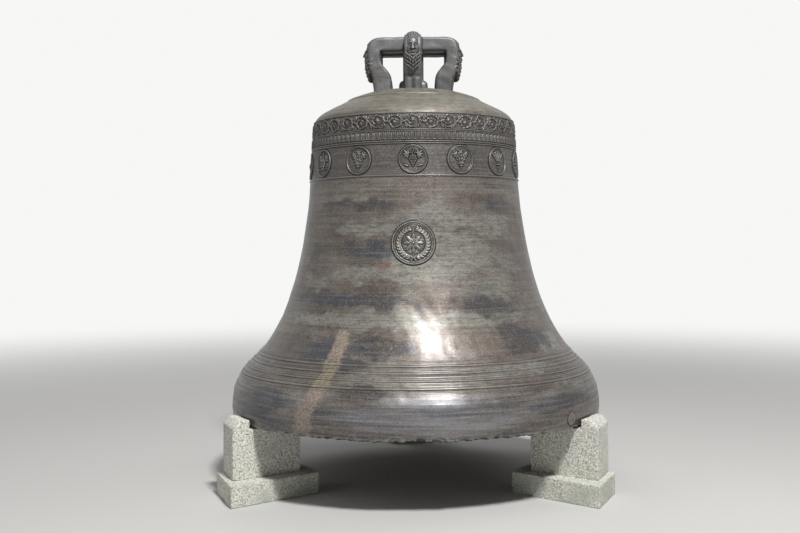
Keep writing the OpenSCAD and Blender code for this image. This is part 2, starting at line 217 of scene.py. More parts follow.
class Finish:
    """A new material and makers of its nodes. place is where a point of the object lies, in metres."""

    def __init__(self, name):
        self.material = bpy.data.materials.new(name)
        self.material.use_nodes = True
        self.tree = self.material.node_tree
        self.shader = self.tree.nodes["Principled BSDF"]
        self.place = self.node("ShaderNodeTexCoord").outputs["Object"]

    def node(self, kind, inputs=None, **settings):
        """A node of this material."""
        return add_node(self.tree, kind, inputs, **settings)

    def shade(self, inputs):
        """Inputs of the shader, by name."""
        for key, value in inputs.items():
            set_input(self.shader.inputs[key], value)

    def height(self):
        """How high a point lies."""
        return self.node("ShaderNodeSeparateXYZ", {0: self.place}).outputs[2]

    def mark(self, key):
        """A number that the mesh carries at each of its points."""
        return self.node("ShaderNodeAttribute", attribute_name=key).outputs["Fac"]

    def noise(self, scale, detail=4.0, rough=0.55, stretch=(1, 1, 1), shift=(0, 0, 0)):
        """Noise between 0 and 1, on places stretched along the axes."""
        vector = self.node("ShaderNodeMapping", {"Vector": self.place, "Scale": stretch, "Location": shift}).outputs[0]
        return self.node("ShaderNodeTexNoise", {"Vector": vector, "Scale": scale, "Detail": detail,
                                                "Roughness": rough}).outputs[0]

    def cells(self, scale, output):
        """Irregular cells, so many to the metre: a colour of their own or the distance from their middle."""
        return self.node("ShaderNodeTexVoronoi", {"Vector": self.place, "Scale": scale}).outputs[output]

    def ramp(self, factor, stops):
        """Colour ramp through (place, colour) stops."""
        made = self.node("ShaderNodeValToRGB", {"Fac": factor})
        elements = made.color_ramp.elements
        while len(elements) < len(stops):
            elements.new(0.5)
        for element, (place, colour) in zip(elements, stops):
            element.position = place
            element.color = (*colour, 1)
        return made.outputs[0]

    def span(self, value, low, high, to_low=0.0, to_high=1.0):
        """A value's range carried to another one, and held there."""
        return self.node("ShaderNodeMapRange", {"Value": value, "From Min": low, "From Max": high,
                                                "To Min": to_low, "To Max": to_high}).outputs[0]

    def times(self, a, b):
        """Product of two values."""
        return self.node("ShaderNodeMath", {0: a, 1: b}, operation="MULTIPLY").outputs[0]

    def added(self, value, *parts):
        """A value plus others, each times its share."""
        for part, share in parts:
            value = self.node("ShaderNodeMath", {0: value, 1: self.times(part, share)}, operation="ADD").outputs[0]
        return value

    def mixed(self, share, a, b):
        """Colour a with a share of colour b in it."""
        return self.node("ShaderNodeMix", {0: share, 6: a, 7: b}, data_type="RGBA").outputs[2]

    def laid(self, colour, value, low, high, share, tone):
        """A tone over a colour: none of it where the value is at low, its whole share at high."""
        return self.mixed(self.span(value, low, high, 0, share), colour, tone)

    def bump(self, height, strength, distance):
        """Direction of a surface that rises by a height."""
        return self.node("ShaderNodeBump", {"Height": height, "Strength": strength, "Distance": distance}).outputs[0]


def bronze_finish(name, browns, redness=0.42, grit=1.0, cool=0.0, top_tone=0.0, glossy=True, turned_lines=1.0):
    """Weathered bronze: ragged dark and pale patches over brown, level hairlines from turning the mould, vertical runs,
    hollows painted dark as shade and raised relief painted lighter, as wear and as highlight, painted streaks of
    reflection on the bow, a painted gleam on the polished places, and pits and fine scratches in the bump.

    browns are the ground tones from dark to light, redness warms them, grit is the strength of the grain, cool greys
    the ornament bands, top_tone pales the dome, and turned_lines is the strength of the level lines. A glossy one has
    a thin gloss over it all, thicker where it is polished.
    """
    f = Finish(name)
    height, relief, polish_and_sheen = f.height(), f.mark("relief"), f.mark("polish_and_sheen")
    fine = f.noise(20, 7, 0.72, (1, 1, 3.2), (3, 9, 1))
    grain = f.noise(90, 6, 0.78, (1, 1, 2.0))
    crumbs = f.noise(75, 6, 0.72)

    # Ground, and pale, dark and rusty patches where the mesh is marked for them
    ground = f.noise(2.2, 8, 0.62, (1, 1, 2.4))
    colour = f.ramp(ground, list(zip((0.36, 0.50, 0.63), browns)))
    red = f.noise(3.1, 8, 0.66, (1, 1, 2.2), (4, 1, 7))
    colour = f.laid(colour, red, 0.48, 0.58, redness, (0.160, 0.106, 0.082))
    pale = f.added(f.noise(3.0, 9, 0.66, (1, 1, 3.2), (9, 3, 2)), (f.mark("pale"), 0.30), (fine, 0.26), (grain, 0.12))
    pale = f.span(pale, 0.74, 0.93, 0, 0.80)
    pales = f.mixed(f.span(fine, 0.40, 0.60), (0.215, 0.208, 0.178), (0.310, 0.306, 0.262))
    colour = f.mixed(pale, colour, pales)
    dark = f.added(f.noise(2.7, 9, 0.66, (1, 1, 3.4), (2, 8, 5)), (f.mark("dark"), 0.34), (fine, 0.30), (grain, 0.16))
    dark = f.span(dark, 0.80, 0.99, 0, 0.86)
    hue = f.noise(1.6, 3, 0.5, shift=(6, 6, 1))
    darks = f.mixed(f.span(hue, 0.48, 0.60), (0.046, 0.050, 0.070), (0.050, 0.040, 0.032))
    colour = f.mixed(dark, colour, darks)
    colour = f.laid(colour, f.added(f.mark("rust"), (fine, 0.9)), 0.95, 1.35, 0.70, (0.215, 0.090, 0.058))
    band = f.times(f.span(height, LINE_BELOW_Z - 0.03, LINE_BELOW_Z + 0.03, 0, cool),
                   f.span(height, SCROLL_HIGH + 0.02, SCROLL_HIGH))
    colour = f.mixed(band, colour, (0.084, 0.085, 0.087))

    # Level lines, streaks on the bow, the light ones a painted streaky reflection, and runs down the wall
    hairline = f.noise(1.0, 6, 0.7, (1.1, 1.1, 75))
    colour = f.laid(colour, hairline, 0.46, 0.64, 0.46 * turned_lines, (0.058, 0.052, 0.048))
    light_line = f.noise(1.0, 6, 0.7, (1.6, 1.6, 60), (5, 2, 8))
    colour = f.laid(colour, light_line, 0.50, 0.68, 0.42 * turned_lines, (0.262, 0.256, 0.232))
    bow = f.span(height, FLARE_WIRES[0] - 0.010, FLARE_WIRES[0] - 0.040)
    streak = f.noise(1.0, 7, 0.75, (2.4, 2.4, 56), (1, 7, 4))
    # On the bow, light streaks are painted as a streaky reflection, with dark streaks between them
    colour = f.mixed(f.times(bow, f.span(streak, 0.48, 0.64, 0, 0.46)), colour, (0.285, 0.285, 0.285))
    colour = f.mixed(f.times(bow, f.span(streak, 0.50, 0.38, 0, 0.66)), colour, (0.042, 0.040, 0.044))
    run = f.noise(1.0, 5, 0.65, (30, 30, 1.6), (1, 5, 0))
    colour = f.laid(colour, run, 0.54, 0.74, 0.30, (0.235, 0.230, 0.208))

    # Grain, and the paler dome
    for value, low, high, share, tone in ((fine, 0.48, 0.36, 0.46, (0.050, 0.046, 0.046)),
                                          (grain, 0.48, 0.38, 0.66, (0.036, 0.032, 0.030)),
                                          (grain, 0.53, 0.63, 0.52, (0.290, 0.282, 0.256))):
        colour = f.laid(colour, value, low, high, share * grit, tone)
    if top_tone:
        top = f.times(f.span(height, SCROLL_HIGH + 0.004, SCROLL_HIGH + 0.04, 0, top_tone),
                      f.span(height, HEAD_Z + 0.004, HEAD_Z + 0.03, 1, 0))
        tops = f.mixed(f.span(fine, 0.40, 0.60), (0.196, 0.170, 0.134), (0.290, 0.282, 0.231))
        colour = f.mixed(f.times(top, f.span(hairline, 0.66, 0.42, 0.35, 1)), colour, tops)

    # The run of lime, ochre where it crosses the mouldings
    stain = f.span(f.added(f.mark("stain"), (crumbs, 0.8), (fine, 0.4)), 0.84, 1.48)
    tan = f.mixed(f.span(crumbs, 0.40, 0.62), (0.185, 0.140, 0.114), (0.400, 0.330, 0.270))
    ochre = f.mixed(f.span(crumbs, 0.42, 0.60), (0.170, 0.142, 0.080), (0.420, 0.380, 0.250))
    wires = f.times(f.span(height, FLARE_WIRES[0] - 0.02, FLARE_WIRES[0], 0, 0.7),
                    f.span(height, FLARE_WIRES[3] + 0.02, FLARE_WIRES[3]))
    worn = f.span(height, LIP_Z + 0.02, LIP_Z + 0.30, 0.62, 0.94)
    colour = f.mixed(f.times(stain, worn), colour, f.mixed(wires, tan, ochre))

    # Hollows painted dark as shade, raised relief painted lighter as wear and as highlight, and polished places with a
    # painted bluish gleam
    colour = f.laid(colour, relief, -0.05, -0.70, 0.90, (0.013, 0.012, 0.011))
    colour = f.laid(colour, relief, 0.15, 0.90, 0.50, (0.265, 0.255, 0.232))
    # Polished places are painted pale and bluish: a painted highlight and reflection over their real gloss
    colour = f.mixed(f.times(polish_and_sheen, f.span(streak, 0.34, 0.62, 0.16, 0.55)), colour, (0.312, 0.336, 0.382))

    matt = f.span(height, LINE_BELOW_Z, LINE_BELOW_Z + 0.06)
    rough = f.added(f.span(ground, 0.35, 0.65, 0.34, 0.42), (pale, 0.05), (dark, -0.06), (stain, 0.25), (polish_and_sheen, -0.07),
                    (f.times(bow, f.span(streak, 0.35, 0.65, 0.05, -0.06)), 1), (f.span(relief, 0, -0.7, 0, 0.25), 1),
                    (f.span(grain, 0.35, 0.65, -0.05, 0.09), 1), (matt, 0.07))
    swell = f.noise(11, 4, 0.55, (1, 1, 1.6))
    pits = f.noise(240, 3, 0.6)
    turning = f.noise(1.0, 5, 0.65, (2.2, 2.2, 130))
    total = f.added(f.times(swell, 0.75), (pits, 0.35 * grit), (turning, 0.45 * turned_lines), (grain, 0.50 * grit),
                    (stain, 0.35))
    rise = f.bump(total, 0.60, 0.0018)
    f.shade({"Base Color": colour, "Metallic": 0.42, "Roughness": rough, "Specular IOR Level": 0.50,
             "Specular Tint": (0.72, 0.75, 0.82), "Coat Roughness": 0.185, "Normal": rise, "Coat Normal": rise})
    if glossy:
        f.shade({"Coat Weight": f.times(f.span(polish_and_sheen, 0, 1, 0.42, 0.78), f.span(matt, 0, 1, 1, 0.30))})
    return f.material


def granite_finish(name):
    """Pale granite: white and grey crystals, scattered black specks, faint green and ochre weather, a pecked face."""
    f = Finish(name)
    grey = f.node("ShaderNodeSeparateColor", {0: f.cells(200, "Color")}).outputs[0]
    colour = f.ramp(grey, [(0.0, (0.24, 0.235, 0.21)), (0.20, (0.58, 0.57, 0.50)), (0.45, (0.80, 0.785, 0.70)),
                           (1.0, (0.95, 0.93, 0.84))])
    specks = f.times(f.span(f.cells(150, "Distance"), 0.46, 0.30), f.span(f.noise(95, 3, 0.6), 0.48, 0.53))
    colour = f.mixed(f.times(specks, 0.97), colour, (0.045, 0.045, 0.048))
    colour = f.laid(colour, f.noise(5, 4, 0.6), 0.45, 0.70, 0.30, (0.50, 0.50, 0.46))
    damp = f.times(f.span(f.height(), 0.20, 0.02, 0, 0.8), f.span(f.noise(7, 5, 0.6, shift=(3, 3, 3)), 0.42, 0.62))
    colour = f.mixed(damp, colour, (0.46, 0.50, 0.42))
    colour = f.laid(colour, f.noise(4, 5, 0.65, shift=(7, 2, 1)), 0.60, 0.76, 0.35, (0.52, 0.42, 0.28))
    pecks = f.added(f.noise(120, 4, 0.65), (f.noise(34, 3, 0.6), 1.6))
    f.shade({"Base Color": colour, "Roughness": 0.88, "Normal": f.bump(pecks, 0.9, 0.0040)})
    return f.material


def iron_finish(name, rust=0.5):
    """Forged iron: near-black scale with rust in clouds and specks, dented by the hammer."""
    f = Finish(name)
    colour = f.ramp(f.noise(9, 6, 0.65), [(0.35, (0.028, 0.026, 0.025)), (0.55, (0.060, 0.050, 0.043)),
                                          (0.75, (0.095, 0.070, 0.052))])
    spots = f.noise(38, 6, 0.7, shift=(2, 4, 6))
    colour = f.laid(colour, spots, 0.50, 0.66, rust, (0.170, 0.075, 0.034))
    dents = f.added(spots, (f.noise(160, 3), 0.4))
    f.shade({"Base Color": colour, "Metallic": f.span(spots, 0.40, 0.62, 0.75, 0.15),
             "Roughness": f.span(spots, 0.35, 0.65, 0.46, 0.85), "Normal": f.bump(dents, 0.6, 0.0015)})
    return f.material


def leather_finish(name):
    """Greased harness leather: dark brown, with pebbled grain and rubbed lighter patches."""
    f = Finish(name)
    cloud = f.noise(16, 5, 0.6)
    colour = f.ramp(cloud, [(0.35, (0.060, 0.030, 0.016)), (0.60, (0.125, 0.066, 0.034)),
                            (0.78, (0.200, 0.118, 0.066))])
    f.shade({"Base Color": colour, "Roughness": f.span(cloud, 0.3, 0.7, 0.5, 0.72),
             "Normal": f.bump(f.cells(420, "Distance"), 0.5, 0.0008)})
    return f.material


BRONZE = bronze_finish("weathered_bronze", [(0.097, 0.073, 0.056), (0.151, 0.122, 0.097), (0.218, 0.191, 0.160)],
                       cool=0.55, top_tone=0.80)
CROWN_BRONZE = bronze_finish("crown_bronze", [(0.090, 0.091, 0.093), (0.131, 0.133, 0.134), (0.168, 0.170, 0.172)],
                             redness=0.12, grit=0.35, glossy=False, turned_lines=0.25)
GRANITE = granite_finish("pecked_granite")
IRON = iron_finish("forged_iron")
BOLT_IRON = iron_finish("bolt_iron", rust=0.8)
LEATHER = leather_finish("greased_leather")


def piece(name, points, replaces=(), material=BRONZE, ring=True, poles=False, marks=None):
    """Mesh from a (rows, columns, 3) grid: a quad between each four neighbours. The columns wrap round, and so do the
    rows of a ring.

    Poles are rows whose points all meet: they are merged. A piece that is no ring has one at each end. The faces are
    turned outwards by the sign of the volume. marks are named numbers, one for each point of the grid, which the
    materials read.
    """
    rows, columns = points.shape[:2]
    here = np.arange(rows * columns).reshape(rows, columns)
    down = np.roll(here, -1, 0)
    if not ring:
        here, down = here[:-1], down[:-1]
    quads = np.stack([here, np.roll(here, -1, 1), np.roll(down, -1, 1), down], -1).reshape(-1, 4)
    flat = points.reshape(-1, 3)
    a, b, c, d = (flat[quads[:, i]] for i in range(4))
    volume = (np.einsum("ij,ij->i", a, np.cross(b, c)) + np.einsum("ij,ij->i", a, np.cross(c, d))).sum()
    if volume < 0:
        quads = quads[:, ::-1]
    mesh = bpy.data.meshes.new(name)
    mesh.from_pydata(flat.tolist(), [], quads.tolist())
    for key, values in (marks or {}).items():
        layer = mesh.attributes.new(key, "FLOAT", "POINT")
        layer.data.foreach_set("value", np.broadcast_to(values, (rows, columns)).astype(np.float32).ravel())
    if poles or not ring:
        merge_poles(mesh)
    mesh.shade_smooth()
    mesh.materials.append(material)
    obj = bpy.data.objects.new(name, mesh)
    bpy.context.collection.objects.link(obj)
    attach(obj, "bell")
    if replaces:
        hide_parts(*replaces)


def merge_poles(mesh):
    """Points that lie on each other become one, and faces without area go."""
    work = bmesh.new()
    work.from_mesh(mesh)
    bmesh.ops.remove_doubles(work, verts=work.verts, dist=1e-6)
    bmesh.ops.dissolve_degenerate(work, dist=1e-7, edges=work.edges)
    work.to_mesh(mesh)
    work.free()


# The bell's wall

outer_curve = np.vstack([
    [[LIP_FLAT, LIP_Z], [MOUTH_R - 0.006, LIP_Z + 0.016]],
    chain((MOUTH_R, WIDE_Z),
          ((MOUTH_R, WIDE_Z + 0.020), (MOUTH_R, WIDE_Z + 0.196), (FLARE_R, FLARE_Z), 60),
          ((FLARE_R - 0.298, FLARE_Z + 0.270), (SHOULDER_R + 0.031, SHOULDER_Z - 0.635), (SHOULDER_R, SHOULDER_Z), 160),
          ((SHOULDER_R - 0.007, SHOULDER_Z + 0.095), (TURN_R + 0.135, TURN_Z - 0.078), (TURN_R, TURN_Z), 60),
          ((TURN_R - 0.100, HEAD_Z - 0.020), (TURN_R - 0.270, HEAD_Z), (0, HEAD_Z), 60)),
    [[0, HEAD_Z]],
])
# The bow is a little fuller just under the mouldings
outer_curve[:, 0] += 0.0045 * bump(outer_curve[:, 1], LIP_Z + 0.198, 0.032) * (outer_curve[:, 0] > 1)
inner_curve = chain(
    (0, INNER_HEAD_Z),
    ((0.150, INNER_HEAD_Z), (0.300, INNER_HEAD_Z - 0.025), (0.400, INNER_HEAD_Z - 0.050), 5),
    ((0.520, INNER_HEAD_Z - 0.075), (INNER_SHOULDER_R - 0.005, SHOULDER_Z + 0.040),
     (INNER_SHOULDER_R, SHOULDER_Z - 0.020), 6),
    ((INNER_FLARE_R - 0.276, FLARE_Z + 0.422), (INNER_FLARE_R - 0.121, FLARE_Z + 0.292), (INNER_FLARE_R, FLARE_Z), 12),
    ((INNER_FLARE_R + 0.074, FLARE_Z - 0.203), (LIP_IN - 0.064, LIP_Z + 0.121), (LIP_IN, LIP_Z), 8))


def wall_r(z):
    """Radius of the outer wall at a height."""
    return np.interp(z, outer_curve[:, 1], outer_curve[:, 0])


def round_point(radius, turn, z):
    """Points at a radius, a turn from the front towards the right, and a height."""
    radius, turn, z = np.broadcast_arrays(radius, turn, z)
    return np.stack([radius * np.sin(turn), -radius * np.cos(turn), z], -1)


def turn_gap(turn, at):
    """How far a turn lies past another one, between -180 and 180 degrees."""
    return (turn - at + 180) % 360 - 180


def patch_strength(turn, z, patches):
    """Largest of the patches at each place: strength * exp(-d^5), with d the distance in half widths."""
    total = np.zeros(np.broadcast(turn, z).shape)
    for at, up, half_turn, half_up, strength in patches:
        away = (turn_gap(turn, at) / half_turn) ** 2 + ((z - up) / half_up) ** 2
        total = np.maximum(total, strength * np.exp(-away ** 2.5))
    return total


def back_patches(seed, count):
    """Patches strewn over the sides and the back."""
    rng = np.random.default_rng(seed)
    return list(zip(rng.uniform(72, 288, count), rng.uniform(0.50, 2.0, count), rng.uniform(9, 26, count),
                    rng.uniform(0.03, 0.075, count), rng.uniform(0.6, 1.0, count)))


# Each patch: turn from the front in degrees, height, half width in degrees, half height, strength
DARK_PATCHES = [(-33, 1.205, 29, 0.044, 1.15), (-8, 1.178, 18, 0.030, 1.0), (29, 1.165, 17, 0.040, 0.95),
                (-37, 0.905, 11, 0.070, 0.8), (-11, 0.930, 11, 0.062, 1.0), (46, 0.955, 15, 0.085, 1.0),
                (-23, 1.495, 16, 0.058, 0.9), (-32, 1.770, 24, 0.042, 0.8), (-13, 0.690, 10, 0.028, 0.9),
                (6, 0.610, 10, 0.032, 0.7), (-48, 0.640, 15, 0.050, 0.8), (47, 0.600, 17, 0.045, 0.8),
                (54, 1.755, 18, 0.040, 0.6), (-62, 0.500, 16, 0.040, 0.6), (20, 0.455, 22, 0.020, 0.5),
                (-52, 0.560, 10, 0.060, 0.8), (-42, 0.510, 8, 0.030, 0.7), (-41, 0.600, 6, 0.045, 0.9),
                (-24, 0.595, 5, 0.045, 0.9), (-20, 0.840, 5, 0.040, 0.7), *back_patches(41, 16)]
# The broad pale patches at turns 12 to 37 on the waist above a height of 1.2 m are painted light: they lighten the side
# where the key lamp's broad gleam falls
PALE_PATCHES = [(-8, 1.085, 58, 0.048, 1.25), (-5, 1.355, 36, 0.055, 0.9), (-25, 1.620, 17, 0.036, 1.0),
                (34, 0.800, 18, 0.032, 0.7), (42, 1.600, 15, 0.040, 0.8), (40, 1.380, 15, 0.036, 0.7),
                (-52, 1.300, 12, 0.050, 0.6), (62, 0.930, 8, 0.060, 0.8), (-12, 0.770, 16, 0.030, 0.7),
                (-34, 0.640, 8, 0.030, 0.7), (58, 0.690, 12, 0.050, 0.6), (14, 1.470, 30, 0.140, 0.80),
                (12, 1.690, 34, 0.070, 0.78), (37, 1.240, 13, 0.110, 0.55), (18, 1.250, 16, 0.050, 0.50),
                *back_patches(42, 14)]
RUST_PATCHES = [(-12.5, 1.400, 4.5, 0.042, 0.9), (-50.5, 0.452, 1.6, 0.012, 1.0), (30, 1.47, 12, 0.06, 0.35)]
# Polished places: real gloss, and a pale bluish colour that is a painted gleam where the key lamp's highlight falls on
# the bow
POLISH_AND_SHEEN_PATCHES = [(7, 0.658, 15, 0.022, 1.0), (4, 0.565, 30, 0.085, 0.70)]

# The run of lime under the crest: its middle's turn at heights above the lip
STAIN_UP = [0.00, 0.13, 0.21, 0.27, 0.33, 0.43, 0.54, 0.62]
STAIN_TURN = [-32.4, -32.0, -30.2, -28.7, -27.6, -27.7, -27.3, -27.6]


def weather(turn, z):
    """Marks on the wall at a turn in radians and a height, weather and painted gleam: the patches on places pushed
    about by ripples.
    """
    turn, z = np.broadcast_arrays(turn, z)
    here = round_point(1.0, turn, z)
    degrees = turn_gap(np.degrees(turn), 0)
    at = degrees + 2.6 * ripple(here, 0.22, 51) + 1.2 * ripple(here, 0.07, 52)
    up = z + 0.014 * ripple(here, 0.24, 53) + 0.008 * ripple(here, 0.07, 54)
    frayed = degrees + 0.4 * ripple(here, 0.05, 55)
    gap = frayed - np.interp(z - LIP_Z, STAIN_UP, STAIN_TURN)
    half = np.interp(z - LIP_Z, [0, 0.36, 0.40, 0.61], [2.7, 2.6, 3.0, 2.5])
    stain = smooth(1.5 - np.abs(gap) / half, 0, 0.95) * smooth(z, LIP_Z + 0.620, LIP_Z + 0.585)
    return {"dark": patch_strength(at, up, DARK_PATCHES), "pale": patch_strength(at, up, PALE_PATCHES),
            "rust": patch_strength(at, up, RUST_PATCHES), "stain": stain,
            "polish_and_sheen": patch_strength(frayed + 0.5, 0.7 * z + 0.3 * up, POLISH_AND_SHEEN_PATCHES)}


def line_relief(z, lines):
    """Height of level ridges: each line is (height, half width, rise) with a shallow groove on both sides."""
    total = np.zeros_like(z)
    for at, half, rise in lines:
        d = np.abs(z - at) / half
        total += rise * half_round(d) - 0.35 * rise * bump(d, 1.45, 0.35)
    return total


def unevenness(points):
    """Slow swell of the casting, in metres outwards."""
    return ripple(points, 0.30, 11) * 0.0016 + ripple(points, 0.09, 12) * 0.0005


def on_wall(points):
    """Points carried out and in with the swell of the wall."""
    radius = np.maximum(np.hypot(points[..., 0], points[..., 1]), 0.05)
    return points * np.stack([1 + unevenness(points) / radius] * 2 + [np.ones_like(radius)], -1)


def bell_wall():
    """The wall swept round the axis: outer curve, head and inner curve, with a slow unevenness of the casting. Its foot
    is drawn in behind the lip ring.
    """
    outer = outer_curve[np.r_[2:62:3, 62:222:2, 222:282:4, 282:342:6, 342]]
    profile = np.vstack([outer, inner_curve])
    radius, height = profile[:, :1], profile[:, 1:]
    turns = all_round(640)
    points = round_point(radius, turns, height)
    outwards = (np.arange(len(profile)) < len(outer))[:, None]
    fade = smooth(radius, 0.02, 0.2) * np.where(outwards, 1, 0.6)
    foot = np.where(height < LIP_Z + 0.055, 0.016, 0)
    points[..., :2] *= (1 + (unevenness(points) * fade - foot) / np.maximum(radius, 0.05))[..., None]
    marks = {key: value * outwards for key, value in weather(turns, height).items()}
    piece("bell_wall", points, ["bell_body"], poles=True, marks=marks)


# Shell-shaped scars on the lip: turn and half width in degrees, depth
LIP_SCARS = [(-5.2, 1.9, 0.007), (6.6, 2.1, 0.007), (22.8, 1.3, 0.006), (-17.0, 1.0, 0.005),
             (37.6, 1.9, 0.008), (96.0, 1.8, 0.009), (171.0, 2.2, 0.009), (214.0, 1.5, 0.008)]


def lip_chips(turns):
    """Chips along the lip's edge, 0 to 1: narrow and broad ones strewn at random turns, few of them deep."""
    rng = np.random.default_rng(20)
    count = 300
    at, half, deep = rng.uniform(0, 360, count), rng.uniform(0.35, 1.7, count), rng.uniform(0.2, 1.0, count) ** 2.2
    gap = np.abs(turn_gap(np.degrees(turns).reshape(-1, 1), at)) / half
    return (deep * smooth(1 - gap, 0, 0.45)).max(1)[None, :]


def lip_ring():
    """The lip as a closed ring round the wall's foot, with its lower edge chipped and eight shell-shaped scars. Each
    scar is a dish inside a raised rim, slanted along the lip.
    """
    turns = all_round(1600)
    outside = np.array([[wall_r(z), z] for z in np.linspace(LIP_Z + 0.090, LIP_Z + 0.016, 14)])
    under = np.array([[MOUTH_R - 0.018, LIP_Z + 0.0115], [MOUTH_R - 0.036, LIP_Z + 0.006], [LIP_FLAT, LIP_Z],
                      [LIP_FLAT - 0.016, LIP_Z], [LIP_IN, LIP_Z]])
    inside = np.linspace((LIP_IN - 0.005, LIP_Z + 0.010), (LIP_IN - 0.037, LIP_Z + 0.074), 7)
    core = np.array([[LIP_IN, LIP_Z + 0.072], [MOUTH_R - 0.020, LIP_Z + 0.074]])
    profile = np.vstack([outside, under, inside, core])
    radius, height = profile[:, :1], profile[:, 1:]
    n_out = len(outside)
    row = np.arange(len(profile))[:, None]
    lower = bump(height, LIP_Z + 0.012, 0.015) * (row < n_out)
    lower[n_out:n_out + len(under), 0] = (1.0, 0.90, 0.70, 0.40, 0.10)
    edge = round_point(MOUTH_R, turns, 0.0)
    notch = 0.30 * ripple(edge, 0.22, 20) + 1.35 * lip_chips(turns) + 0.13 * ripple(edge, 0.017, 23)
    dent = 0.0060 * notch * lower
    rim = np.zeros_like(dent)
    for at, wide, deep in LIP_SCARS:
        gap = turn_gap(np.degrees(turns), at) / wide
        out = np.hypot(gap, (height - LIP_Z - 0.010 - 0.006 * gap) / 0.030)
        dent += (row < n_out + 3) * (deep * smooth(out, 1.0, 0.72) - 0.4 * deep * bump(out, 1.08, 0.12))
        # Each scar's raised rim is painted lighter, as wear and highlight, and the ring just inside it painted dark as
        # shade; its floor is lighter
        rim += (row < n_out + 3) * (0.9 * bump(out, 1.08, 0.14) - 0.8 * bump(out, 0.84, 0.10) + 0.35 * (out < 0.7))
    proud = np.where(row < n_out, np.interp(row, [0, 1, 3, 6], [-0.004, -0.0010, 0, 0.0006]), 0)
    points = round_point(radius - dent + proud, turns, height + 0.0100 * notch * lower)
    marks = weather(turns, height)
    # The lip's lower rim is painted lighter, partly as wear and partly as a painted highlight, and marked for the
    # polished gleam
    worn = bump(height, LIP_Z + 0.016, 0.009) * (row < n_out + 1)
    marks["relief"] = np.clip(rim + worn * (0.70 + 0.6 * ripple(edge, 0.05, 24)), -1, 1)
    marks["polish_and_sheen"] = np.clip(marks["polish_and_sheen"] + 0.6 * worn, 0, 1)
    piece("lip_ring", on_wall(points), marks=marks)


def wall_band(name, low, high, rows, columns, relief, margin=0.003, relief_shading=1.0):
    """A thin closed ring on the wall: its face stands proud by the relief, its two edges and back sink into the wall.

    relief takes the turn and the height of each point of the face and gives its rise in metres. The last argument sets
    how strongly the hollows are painted dark as shade and the ridges painted bright, as highlight and wear.
    """
    turns = all_round(columns)
    heights = np.linspace(low, high, rows)[:, None]
    wall = wall_r(heights)
    rise = np.broadcast_to(relief(turns, heights), (rows, columns))
    lift = rise - 0.003 + 0.004 * smooth(heights, low, low + margin) * smooth(heights, high, high - margin)
    slope = np.gradient(wall[:, 0], heights[:, 0])[:, None]
    tilt = 1 / np.sqrt(1 + slope ** 2)
    face = round_point(wall + lift * tilt, turns, heights - lift * slope * tilt)
    back = round_point(wall[::-8] - 0.006, turns, heights[::-8])
    marks = weather(turns, heights)
    # Hollows painted dark as shade, ridges painted lighter as highlight and wear
    marks["relief"] = relief_shading * relief_shade_and_wear(rise, 14, 0.0018)
    marks = {key: np.vstack([value, np.zeros((len(back), columns))]) for key, value in marks.items()}
    piece(name, on_wall(np.vstack([face, back])), marks=marks)


# Relief drawn with strokes: a stroke is a line of points with a half width and a rise at each

def stroke(points, half, rise):
    """A stroke with one half width and rise, or with one for each point."""
    points = np.asarray(points, float)
    return points, np.broadcast_to(half, len(points)), np.broadcast_to(rise, len(points))


def leaf(x, y, turn, length, width, rise, bend=0.0, count=14):
    """Leaf from (x, y) along turn, curving by bend: its half width swells as a sine and ends in a point."""
    t = np.linspace(0, 1, count)
    heading = turn + bend * t
    step = length / (count - 1)
    path = np.cumsum(np.stack([np.cos(heading), np.sin(heading)], -1) * step, 0) + (x, y)
    half = width * np.sin(math.pi * np.clip(t * 0.94 + 0.06, 0, 1)) ** 0.8 + 0.0004
    return stroke(path, half, rise * (1 - 0.35 * t))


def dot(x, y, radius, rise):
    """A round bead."""
    return [stroke([(x, y)], radius, rise)]


def direction(path, i):
    """Direction of a path at its point i."""
    return math.atan2(*(path[i + 1] - path[i])[::-1])


def draw(x, y, strokes):
    """Highest of the strokes at each place, each as round as a bar."""
    total = np.zeros(np.broadcast(x, y).shape)
    for points, half, rise in strokes:
        for (px, py), w, h in zip(points, half, rise):
            total = np.maximum(total, h * half_round(np.hypot(x - px, y - py) / w))
    return total


def ring_of(count, radius, make, start=0.0):
    """Strokes made at equal turns on a circle: make(x, y, turn)."""
    made = []
    for i in range(count):
        a = start + TAU * i / count
        made += make(radius * math.cos(a), radius * math.sin(a), a)
    return made


def rosette(radius, rise, petals=8, x=0.0, y=0.0):
    """Two rings of petals round a button."""
    made = ring_of(petals, radius * 0.30, lambda px, py, a: [
        leaf(x + px, y + py, a, radius * 0.70, radius * 0.21, rise)])
    made += ring_of(petals, radius * 0.12, lambda px, py, a: [
        leaf(x + px, y + py, a, radius * 0.42, radius * 0.13, rise * 1.4)], math.pi / petals)
    return made + dot(x, y, radius * 0.20, rise * 1.7)


